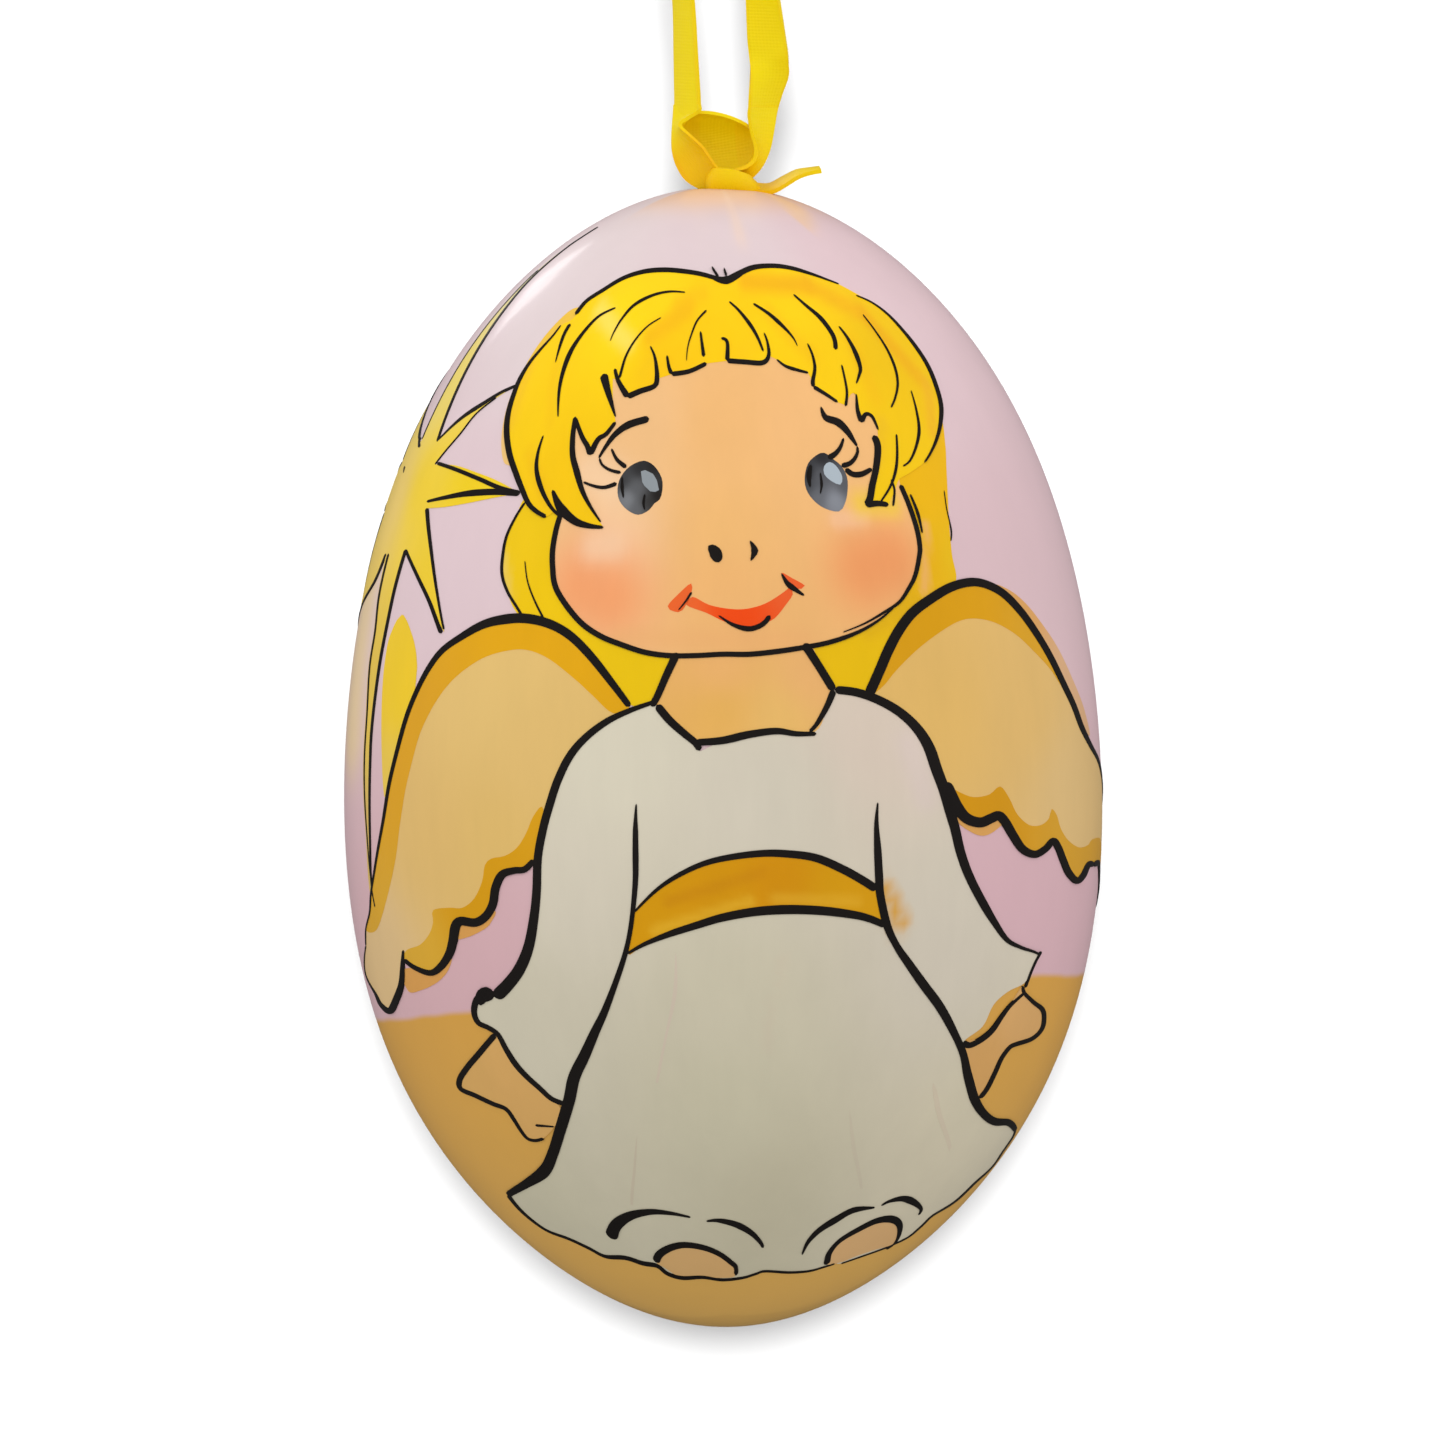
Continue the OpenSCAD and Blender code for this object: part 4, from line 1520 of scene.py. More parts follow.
@dataclass
class Face:
    """The doll-like face: neck, skin with soft blush and painted highlights, eyes, nose and mouth."""

    neck_lift: float = 0.066
    lift: float = 0.072
    feature_lift: float = 0.085
    shine_lift: float = 0.093
    line_lift: float = 0.125
    neck_cell: float = 0.8
    cell: float = 0.6
    eye_cell: float = 0.22
    shine_cell: float = 0.4
    lip_cell: float = 0.5

    neck: Outline = (
        (-3.4, 7.7), (0, 8), (3, 8.3), (6.4, 8.5), (7.2, 6.8), (8.2, 5.2), (7.8, 3.8), (6.9, 1.9), (4, 1.9),
        (2, 1.7), (-1.8, 0.9), (-3.4, 2.4), (-5, 4), (-4.2, 6.1),
    )
    outline: Outline = (
        (-12.1, 18.2), (-12.45, 17), (-12.7, 15.5), (-12.7, 14.2), (-12.5, 12.8), (-11.7, 11.4), (-10.5, 10),
        (-9.1, 9.05), (-7.5, 8.4), (-5.8, 7.85), (-4, 7.6), (-2, 7.6), (0, 7.7), (2, 7.7), (4, 7.9), (6, 8.2),
        (8, 8.6), (10, 9.3), (11.6, 10.2), (12.8, 11.2), (13.9, 12.6), (14.4, 13.6), (14.7, 15),
        (14.75, 15.8), (14.5, 17.2), (13.9, 19), (13.3, 20.4), (12.5, 24), (9, 28), (5, 30.4), (0, 31.2),
        (-5, 30.4), (-9, 28.4), (-11.5, 24), (-12.6, 20),
    )
    # The palest tone, at (-9, 16), is a painted highlight on the left cheek.
    tones: Tones = (
        (0, 25, "F1B976"), (-6, 25, "F2BF84"), (0, 17, "F3BB74"), (-9, 16, "FCD0A4"), (6, 24, "F4BC7C"),
        (0, 13, "F2B772"), (3, 9, "F1B772"), (12, 18.5, "F4BC7C"), (-11.5, 17.5, "F6C48A"),
    )
    touches: tuple[Touch, ...] = (
        Touch((-10.4, 12.8), (-8.6, 12.2), 4, "F69C62", 0.85),
        Touch((12.4, 14.8), (10.8, 14.2), 3.6, "F0965C", 0.82),
        # The next two pale touches are painted highlights on the left cheek and beside the left eye.
        Touch((-9.8, 21.4), (-8.4, 20.6), 1.8, "FBD6B0", 0.55),
        Touch((-9.6, 15.7), (-8.2, 15.8), 1.2, "FBD2AC", 0.6),
        Touch((8.6, 17.8), (10.4, 18), 0.8, "F9C8A4", 0.5),
        Touch((-7.6, 8.9), (6, 8.8), 0.9, "EFB070", 0.5),
        Touch((10.4, 19), (12.6, 18.9), 1.1, "F4C840", 0.85),
    )
    left_eye: Outline = (
        (-5.9, 22.2), (-5.1, 21.8), (-4.55, 20.9), (-4.5, 20), (-4.7, 19.3), (-5.1, 19), (-5.5, 18.5),
        (-6.3, 18.15), (-7.1, 18.5), (-7.7, 19.2), (-7.85, 20.1), (-7.6, 21), (-6.9, 21.8),
    )
    right_eye: Outline = (
        (7.6, 22.8), (7, 22.6), (6.4, 22), (6.15, 21), (6.25, 20.1), (6.75, 19.3), (7.6, 18.65), (8.7, 18.4),
        (9.15, 19), (9.35, 20), (9.3, 21), (8.9, 21.8), (8.3, 22.3),
    )
    # The shines are painted reflections in the varnish over the dark eyes.
    left_shine: Outline = ((-6.1, 21.4), (-5.4, 21.4), (-4.9, 20.7), (-4.75, 20), (-5.4, 19.9), (-6, 20.6))
    right_shine: Outline = (
        (7.6, 21.8), (8, 22.1), (8.5, 21.8), (8.95, 21), (8.8, 20.4), (8.1, 20.7), (7.6, 21.2),
    )
    smile: Outline = (
        (-2.25, 12), (-1, 11.4), (0.5, 11.1), (1.8, 11.1), (3.2, 11.5), (4.5, 12.3), (5.1, 12.8), (5.1, 12.8),
        (5.25, 12.2), (4.8, 11.5), (3.9, 10.4), (3, 10), (2, 9.7), (0.8, 9.9), (-0.2, 10.3), (-1.2, 10.8),
        (-2.7, 11.4),
    )
    left_corner: Outline = ((-4.1, 11.3), (-3.2, 12.3), (-2.35, 13), (-2.35, 12.2), (-3, 11), (-3.6, 10.9))
    right_corner: Outline = ((4.4, 13.8), (5.2, 13.4), (6.15, 12.85), (5.9, 12.6), (4.9, 12.8))
    neck_tones: Tones = ((0, 6.5, "F0B46E"), (0, 3.6, "EBB45A"), (4, 3, "ECBC6A"), (6.5, 6, "EEB470"))
    left_eye_tones: Tones = (
        (-4.9, 19.6, "231E1B"), (-5.2, 21.8, "2A2726"), (-7.1, 19.3, "808286"), (-6.3, 18.6, "66676A"),
        (-7.4, 20.7, "404042"), (-6.2, 21.6, "302F30"), (-5.6, 19, "363432"), (-6.4, 20.2, "606164"),
    )
    right_eye_tones: Tones = (
        (6.5, 21.4, "343437"), (7.4, 22.5, "2E2D30"), (8.4, 19.2, "8A8D95"), (7.1, 19.6, "6A6C72"),
        (9.1, 20.4, "5C5D62"), (7.2, 21, "5C5D62"), (6.5, 20.3, "4A4B4F"),
    )
    shine_tones: Tones = ((-5.4, 20.6, "92999E"), (8.2, 21.4, "AEB9C2"))
    lip_tones: Tones = ((1, 10.6, "F54A06"), (-3, 11.8, "F0662A"), (5.2, 13.2, "F0602A"))
    strokes: tuple[Stroke, ...] = (
        Stroke(outline[:20], (0.38, 0.4, 0.42, 0.4, 0.38, 0.4, 0.35, 0.1)),
        Stroke(
            outline[26:19:-1] + ((13.2, 11.6), (12, 10.8), (10.6, 10), (9, 9.35)),
            (0.35, 0.35, 0.3, 0.2, 0.08),
        ),
        Stroke(((-3.4, 7.8), (-4.2, 6.1), (-4.85, 4.6), (-5.3, 3.8)), (0.6, 0.55, 0.5)),
        Stroke(((6.1, 8.5), (7.2, 6.8), (8.3, 5)), (0.65, 0.6, 0.6)),
        Stroke(((8.3, 5), (7.8, 3.8), (7.05, 2.5), (6.5, 1.9)), (0.5, 0.4, 0.25)),
        Stroke(((-7.5, 21), (-7.5, 20.2), (-7.4, 19.4)), (0.12, 0.25, 0.1)),
        Stroke(((-5.8, 19.7), (-5.9, 19), (-5.8, 18.5)), (0.12, 0.2, 0.1)),
        Stroke(((6.6, 21.9), (6.45, 21), (6.55, 20.2)), (0.2, 0.4, 0.12)),
        Stroke(((7.3, 21.3), (7.4, 20.4), (7.3, 19.7)), (0.1, 0.2, 0.06)),
        Stroke(((-9.25, 22.4), (-8.7, 23.3), (-8, 24.2), (-7, 24.9), (-5.5, 25.35)), (0.15, 0.35, 0.55, 0.5)),
        Stroke(((-8.3, 23.1), (-7.9, 22.3), (-7.2, 21.7)), (0.15, 0.35)),
        Stroke(((-9.2, 22.4), (-9, 21.9), (-8.4, 21.5), (-7.6, 21.3)), (0.15, 0.25)),
        Stroke(((-10.4, 20.6), (-9.6, 20.3), (-8.8, 20.2), (-7.9, 20.5)), (0.15, 0.32)),
        Stroke(((7.35, 26.25), (7.7, 25.45), (8.6, 25.1), (9.25, 24.5), (9.8, 23.7), (10.05, 23.3)),
                (0.12, 0.5, 0.6, 0.42, 0.15)),
        Stroke(((10.05, 23.3), (10.1, 22.9), (9.9, 22.4), (9.5, 22), (8.9, 21.8)), (0.15, 0.28, 0.4)),
        Stroke(((9.05, 23.9), (8.8, 23.2), (8.4, 22.7), (7.9, 22.4)), (0.15, 0.3, 0.45)),
        Stroke(((9.2, 21.6), (9.7, 21.2), (10.4, 21.2), (11.15, 21.6)), (0.4, 0.42, 0.3)),
        Stroke(((-1.05, 15.8), (-0.6, 15.4), (-0.25, 14.6)), (0.5, 0.95, 0.75)),
        Stroke(((2.05, 16.2), (2.4, 15.45), (2.1, 14.7)), (0.1, 0.55, 0.1)),
        Stroke(((-3.3, 11), (-2.8, 11.6), (-2.3, 12.35)), (0.08, 0.18)),
        Stroke(((-0.3, 10.6), (0.8, 9.9), (2, 9.6), (3, 9.95), (3.55, 10.6)), (0.1, 0.4, 0.35)),
        Stroke(((4.4, 13.75), (4.85, 13), (5.5, 12.5), (6.1, 12.1)), (0.12, 0.45, 0.15)),
    )

    def build(self, painter: Painter) -> None:
        """Lay the neck, the face and its features.

        Args:
            painter: what lays the paint.
        """
        lips = (self.smile, self.left_corner, self.right_corner)
        shines = (self.left_shine, self.right_shine)
        painter.fill("neck", [self.neck], self.neck_lift, self.neck_tones, cell=self.neck_cell)
        painter.fill("face", [self.outline], self.lift, self.tones, self.touches, self.cell)
        eyes = {
            "left_eye": (self.left_eye, self.left_eye_tones),
            "right_eye": (self.right_eye, self.right_eye_tones),
        }
        for name, (outline, tones) in eyes.items():
            painter.fill(name, [outline], self.feature_lift, tones, cell=self.eye_cell)
        painter.fill("eye_shine", shines, self.shine_lift, self.shine_tones, cell=self.shine_cell)
        painter.fill("mouth", lips, self.feature_lift, self.lip_tones, cell=self.lip_cell)
        painter.lines("face_lines", self.strokes, self.line_lift)


@dataclass
class Hair:
    """The thick front hair: crown, fringe and side locks."""

    glow_lift: float = 0.036
    lift: float = 0.09
    line_lift: float = 0.13
    glow_cell: float = 0.7
    cell: float = 0.6

    crown_left: Outline = (
        (0.2, 35.7), (-1.5, 36.2), (-3, 36.45), (-4.5, 36.55), (-6, 36.4), (-7.5, 35.9), (-9, 35),
        (-10.2, 34.2), (-11.2, 32.9), (-12.1, 32.4), (-12.7, 31.6), (-13.6, 30.6), (-14.5, 29.5),
        (-15.2, 28.3), (-15.7, 27), (-16.05, 25.7), (-16.15, 24.4), (-15.95, 22.8), (-15.5, 21.4),
        (-15, 20.1), (-14.5, 19), (-13.9, 18.4), (-13.2, 18),
    )
    under: Outline = (
        (-12.3, 18.6), (-11.8, 18.2), (-10.9, 17.6), (-9.9, 17.3), (-8.9, 17.2), (-8.9, 17.2), (-9.9, 18.8),
        (-10.5, 20), (-10.9, 21.4), (-11.2, 22.6), (-11.2, 24), (-11, 25.5), (-11, 25.5), (-10.5, 24),
        (-10.1, 23.3), (-9.9, 22.6), (-9.9, 22.6), (-9.3, 23.8), (-8.7, 24.2), (-8, 25.2), (-8, 25.2),
        (-8.2, 26.6), (-8.2, 28.4), (-8.2, 28.4), (-7.8, 28.1), (-7.1, 27), (-7.1, 27), (-6.2, 27.4),
        (-5.1, 27.8), (-4.9, 28.3), (-4.4, 28.5), (-3.8, 28.7), (-3.8, 28.7), (-2.5, 28.9), (-1.2, 29.5),
        (-1.2, 29.5), (-0.4, 29.6), (0.35, 29.7), (0.35, 29.7), (1.7, 29.6), (3, 29.55), (3.45, 30.1),
        (3.45, 30.1), (4.05, 29.8), (4.7, 29.3), (5.6, 29), (6.4, 28.8), (6.8, 27.75), (6.8, 27.75),
        (7.7, 27.2), (8.6, 26.6), (9.2, 26.4), (9.2, 26.4), (9.6, 27.2), (10, 27.2), (10.1, 26), (10.4, 25.1),
        (10.4, 25.1), (10.7, 25.7), (11.2, 25.5), (11.6, 24.5), (11.6, 23.3), (11.5, 21.8), (11.2, 20.4),
        (11, 19.3), (10.7, 18.9), (10.7, 18.9), (11.6, 19), (12.4, 18.9), (12.4, 18.9), (12.9, 20),
        (13.2, 20.8), (14, 21.3), (15.1, 22.1),
    )
    crown_right: Outline = (
        (15.5, 22.7), (16, 23.8), (16.3, 25), (16.35, 26.4), (16, 27.8), (15.4, 29.3), (14.6, 30.6),
        (13.6, 31.9), (12.4, 33.2), (11.2, 34.1), (10, 34.8), (8.7, 35.5), (7.9, 35.8), (6.8, 36.2),
        (5.3, 36.65), (3.9, 36.85), (2.4, 36.75), (1.3, 36.3),
    )
    tones: Tones = (
        (-7, 33.5, "FFD904"), (-5, 35.4, "FDD504"), (0, 33, "FDCB00"), (-14, 26, "FCCE00"),
        (-12, 21, "FAC800"), (5, 33, "FDD000"), (12, 30, "F2C200"), (12.5, 22, "F4C604"), (8, 29, "FBCC00"),
        (-4, 29.5, "FBC600"),
    )
    touches: tuple[Touch, ...] = (
        Touch((-5.4, 31.6), (-2.6, 33.6), 0.9, "F6B606", 0.7),
        Touch((-3.4, 34), (-1.4, 34.8), 0.7, "F8BC08", 0.5),
        Touch((1.6, 35.6), (6.4, 35.4), 0.8, "F4B306", 0.9),
        Touch((6.4, 35.4), (10.6, 33.2), 0.8, "F4B306", 0.8),
        Touch((10.6, 33.2), (14.6, 28.6), 0.9, "F0AE08", 0.75),
        Touch((15.3, 28), (15.7, 24.4), 0.6, "F0B020", 0.7),
        Touch((3.6, 33.2), (6.6, 30.2), 0.8, "F8BE08", 0.6),
        Touch((9.6, 31), (11.4, 27), 0.9, "F4BA06", 0.5),
        Touch((-12.4, 29.6), (-12.9, 25), 0.6, "F8C208", 0.5),
        Touch((-14.4, 22.8), (-13.2, 19.2), 0.6, "F4BC0A", 0.5),
        Touch((-15.9, 25), (-14.4, 29.4), 0.7, "F6C21E", 0.7),
        # The pale touch below is a painted highlight on the hair's upper left.
        Touch((-9.2, 33.6), (-7, 31), 0.8, "FFE466", 0.7),
        Touch((11.4, 22), (12, 25), 0.7, "EFBA20", 0.5),
        Touch((-6, 28.6), (-5.2, 30.2), 0.5, "F8C608", 0.6),
        Touch((1.4, 30.4), (2.6, 31), 0.6, "F9C808", 0.6),
    )
    glow_tones: Tones = ((-13.6, 31, "F3C43A"), (-16.4, 25, "F2C67C"), (-11, 33.6, "F3C444"))
    glow: Outline = (
        (-10.4, 33.6), (-11.2, 33.7), (-12.3, 32.8), (-13.6, 31.3), (-14.8, 29.4), (-15.8, 27.4),
        (-16.4, 25.4), (-16.6, 23.4), (-16.3, 22), (-15.4, 22.4), (-15.4, 26), (-13.6, 29.8), (-11.6, 32.2),
    )
    strokes: tuple[Stroke, ...] = (
        Stroke(crown_left[:8] + ((-11, 33.2),), (0.3, 0.35, 0.3)),
        Stroke(((-11.4, 32.5), (-11.9, 31.6), (-12.5, 29.6)), (0.25, 0.2, 0.05)),
        Stroke(((-1, 36.1), (0.2, 35.75), (1.5, 36.3)), (0.2, 0.6, 0.25)),
        Stroke(((-0.8, 36.8), (-0.3, 36)), (0.1, 0.18)),
        Stroke(((0.1, 36.7), (0.3, 36.1)), (0.1, 0.18)),
        Stroke(crown_left[:1] + crown_right[:10:-1], (0.45, 0.35, 0.3, 0.1)),
        Stroke(crown_left[9:], (0.1, 0.3, 0.4, 0.4, 0.3)),
        Stroke(((10, 34.65),) + crown_right[9::-1] + under[-1:], (0.1, 0.3, 0.3, 0.12)),
        Stroke(((-8, 33.7), (-9.2, 33.1), (-10.2, 32.1), (-11.2, 30.7), (-11.8, 29.3), (-12.2, 27.6),
                (-12.3, 25.5)), (0.12, 0.35, 0.08)),
        Stroke(((-2.8, 34.85), (-4, 34.9), (-5.3, 34.6), (-6.6, 33.9), (-7.5, 32.9), (-8.1, 31.9),
                (-8.4, 31.2)), (0.08, 0.25, 0.05)),
        Stroke(((-4.6, 32.95), (-5.6, 32.3), (-6.5, 31.3), (-7.2, 30.1), (-7.6, 28.8), (-7.7, 28.4)),
                (0.08, 0.2)),
        Stroke(((-1.2, 33.5), (-1.9, 32.7), (-2.35, 31.6), (-2.6, 30.7), (-2.7, 29.7)), (0.15, 0.12, 0.05)),
        Stroke(((-1.65, 31.9), (-1.4, 30)), (0.15, 0.28)),
        Stroke(((-8.9, 28.7), (-8.45, 27), (-8, 25.5)), (0.6, 0.4, 0.1)),
        Stroke(((-8.05, 29.1), (-7.8, 28.2), (-7.1, 27)), (0.2, 0.45)),
        Stroke(((-7.1, 27), (-6.2, 27.4), (-5.1, 27.8), (-4.9, 28.4), (-4.95, 29.3), (-5.1, 30.1),
                (-5.4, 30.8)), (0.45, 0.35, 0.1)),
        Stroke(((-4.15, 30.1), (-4, 29.2), (-3.8, 28.7)), (0.15, 0.3)),
        Stroke(under[32:35], (0.35, 0.3)),
        Stroke(((-0.1, 31.4), (0.35, 31.1), (0.35, 29.7)), (0.2, 0.35)),
        Stroke(under[38:42] + ((3.35, 31.1), (3.1, 31.8)), (0.35, 0.35, 0.1)),
        Stroke(((-11, 25.4), (-10.5, 24), (-10.1, 23.3), (-9.9, 22.65)), (0.25, 0.4)),
        Stroke(((-9.9, 22.65), (-9.3, 23.8), (-8.7, 24.2), (-8, 25.1)), (0.45, 0.25)),
        Stroke(under[11:5:-1] + ((-9.1, 17.6),), (0.3, 0.45, 0.12)),
        Stroke(((-12.7, 20), (-12.3, 19), (-11.8, 18.3), (-10.9, 17.6), (-9.9, 17.3), (-8.9, 17.2)),
                (0.2, 0.7, 0.5, 0.2)),
        Stroke(((-13.4, 24.1), (-13.8, 22.8), (-13.9, 21.5), (-13.5, 20), (-12.8, 18.7), (-12.1, 18)),
                (0.1, 0.35, 0.2)),
        Stroke(((0.5, 34.15), (1.2, 33.5), (2, 32.5), (2.6, 31.5), (3.05, 30.4)), (0.12, 0.28, 0.15)),
        Stroke(((2.3, 34), (3.5, 33.2), (4.6, 32.2), (5.3, 31.4), (5.6, 30.8)), (0.15, 0.3, 0.05)),
        Stroke(((5.3, 34.7), (6.2, 33.9), (7.3, 32.95), (8.1, 31.9), (8.4, 31.2), (8.45, 30.55)),
                (0.12, 0.35, 0.3)),
        Stroke(((8.7, 32.3), (9.3, 31.5), (9.9, 30.4), (10.3, 29.2), (10.2, 28.6), (10, 28)),
                (0.12, 0.35, 0.1)),
        Stroke(((10.5, 33.2), (11.4, 32), (12.3, 30.6), (12.9, 29.2), (13.1, 28), (12.9, 26.9), (12.6, 26.2)),
                (0.08, 0.18, 0.12)),
        Stroke(((14.1, 27.5), (14.5, 26), (14.7, 24.5), (14.45, 23.2), (14, 22.2), (13.5, 21.8)),
                (0.08, 0.22, 0.12)),
        Stroke(((6.35, 31), (6.7, 30.2), (6.9, 29.2), (6.75, 28.2), (6.8, 27.75)), (0.12, 0.3)),
        Stroke(((6.8, 27.75), (7.7, 27.2), (8.6, 26.6)), (0.3, 0.2)),
        Stroke(((8.9, 29.4), (9.15, 28.3), (9.3, 27.3), (9.2, 26.3)), (0.12, 0.2)),
        Stroke(under[43:47], (0.1, 0.25, 0.15)),
        Stroke(((10, 27.2), (10.1, 26), (10.4, 25.1)), (0.1, 0.4)),
        Stroke(((10.4, 25.1), (10.7, 25.7), (11.2, 25.5), (11.65, 24.5)), (0.35, 0.12)),
        Stroke(((11.3, 24.1),) + under[61:66], (0.5, 0.45, 0.5)),
        Stroke(((10.7, 18.9), (11.6, 19), (12.4, 18.9)), (0.5, 0.35)),
        Stroke(((13, 24.2), (13.05, 22.5), (12.9, 21.3), (12.5, 20.2), (11.8, 19.1)), (0.12, 0.2, 0.12)),
        Stroke(((12.6, 20.8), (12.85, 20), (12.75, 18.8)), (0.15,)),
        Stroke(((14.05, 19.7), (14.6, 18.3), (14.95, 16.8)), (0.1, 0.2, 0.08)),
    )

    def build(self, painter: Painter) -> None:
        """Lay the hair and its lines.

        Args:
            painter: what lays the paint.
        """
        outline = self.crown_left + self.under + self.crown_right
        painter.fill("hair_glow", [self.glow], self.glow_lift, self.glow_tones, cell=self.glow_cell)
        painter.fill("hair", [outline], self.lift, self.tones, self.touches, self.cell)
        painter.lines("hair_lines", self.strokes, self.line_lift)


@dataclass(frozen=True)
class Station:
    """One cross-section of a ribbon: its two edges, how far its middle bows out, and how much painted shade
    darkens it in a fold.
    """

    left: tuple[float, float, float]
    right: tuple[float, float, float]
    bow: float = 0.0
    # Painted shade: how much darker the satin is drawn here, in a fold or hollow.
    fold_shade: float = 0.0


def smooth_run(points: Sequence[Vector], parts: Sequence[int]) -> list[Vector]:
    """Smooth a list of points with a set number of parts in each span.

    Args:
        points: the places in order.
        parts: how many parts each span is cut into.

    Returns:
        The smoothed places, with both ends.
    """
    result: list[Vector] = []
    for i, count in enumerate(parts):
        here, there = points[i], points[i + 1]
        before = points[i - 1] if i else here * 2 - there
        after = points[i + 2] if i + 2 < len(points) else there * 2 - here
        result.extend(bend(before, here, there, after, k / count) for k in range(count))
    result.append(points[-1].copy())
    return result


@dataclass
class RibbonStrip:
    """Builds flat ribbon through cross-sections, as one closed strip with a map along and across."""

    thickness: float = 0.3
    across: int = 8
    step: float = 0.3
    crease: float = 50.0
    match_digits: int = 5

    def build(self, name: str, stations: Sequence[Station], material: Material) -> Object:
        """Make the strip.

        Args:
            name: the piece's name.
            stations: the cross-sections in order, in millimetres; heights count from the hanging point.
            material: the ribbon's finish.

        Returns:
            The piece, not yet fixed to a body.
        """
        lefts = [Vector(s.left) for s in stations]
        rights = [Vector(s.right) for s in stations]
        middles = [(a + b) / 2 for a, b in zip(lefts, rights)]
        parts = [max(1, math.ceil((b - a).length / self.step)) for a, b in zip(middles, middles[1:])]
        left_run, right_run = smooth_run(lefts, parts), smooth_run(rights, parts)
        extras = smooth_run([Vector((s.bow, s.fold_shade, 0.0)) for s in stations], parts)
        last = len(left_run) - 1
        lengths = [0.0]
        for i in range(last):
            ahead = left_run[i + 1] + right_run[i + 1] - left_run[i] - right_run[i]
            lengths.append(lengths[-1] + ahead.length / 2)
        shape = bmesh.new()
        mapping = shape.loops.layers.uv.new("ribbon_map")
        # Each vertex keeps the painted fold shade of its cross-section.
        fold_shade = shape.verts.layers.float.new("fold_shade")
        grid = bmesh.ops.create_grid(shape, x_segments=self.across, y_segments=last, size=1.0)
        spots = {vert: (vert.co.x, round((vert.co.y + 1) / 2 * last)) for vert in grid["verts"]}
        faces = shape.faces[:]
        for face in faces:
            for loop in face.loops:
                side, index = spots[loop.vert]
                half = (right_run[index] - left_run[index]).length / 2
                loop[mapping].uv = (lengths[index], side * half)
        outwards: dict[tuple[float, ...], Vector] = {}
        for vert, (side, index) in spots.items():
            span = right_run[index] - left_run[index]
            low, high = max(index - 1, 0), min(index + 1, last)
            ahead = left_run[high] + right_run[high] - left_run[low] - right_run[low]
            out = span.cross(ahead).normalized()
            middle = (left_run[index] + right_run[index]) / 2
            rise = extras[index].x * (1 - side * side) - self.thickness / 2
            vert.co = middle + span * (side / 2) + out * rise
            vert[fold_shade] = extras[index].y
            outwards[vert.co.to_tuple(self.match_digits)] = out
        grown = bmesh.ops.extrude_face_region(shape, geom=faces, use_keep_orig=True)
        for part in grown["geom"]:
            if isinstance(part, BMVert):
                part.co += outwards[part.co.to_tuple(self.match_digits)] * self.thickness
        bmesh.ops.recalc_face_normals(shape, faces=shape.faces[:])
        for vert in shape.verts:
            vert.co *= MM
        piece = object_from(shape, name)
        piece.data.materials.append(material)
        piece.data.set_sharp_from_angle(angle=math.radians(self.crease))
        log.info("%s: %d faces", name, len(piece.data.polygons))
        return piece


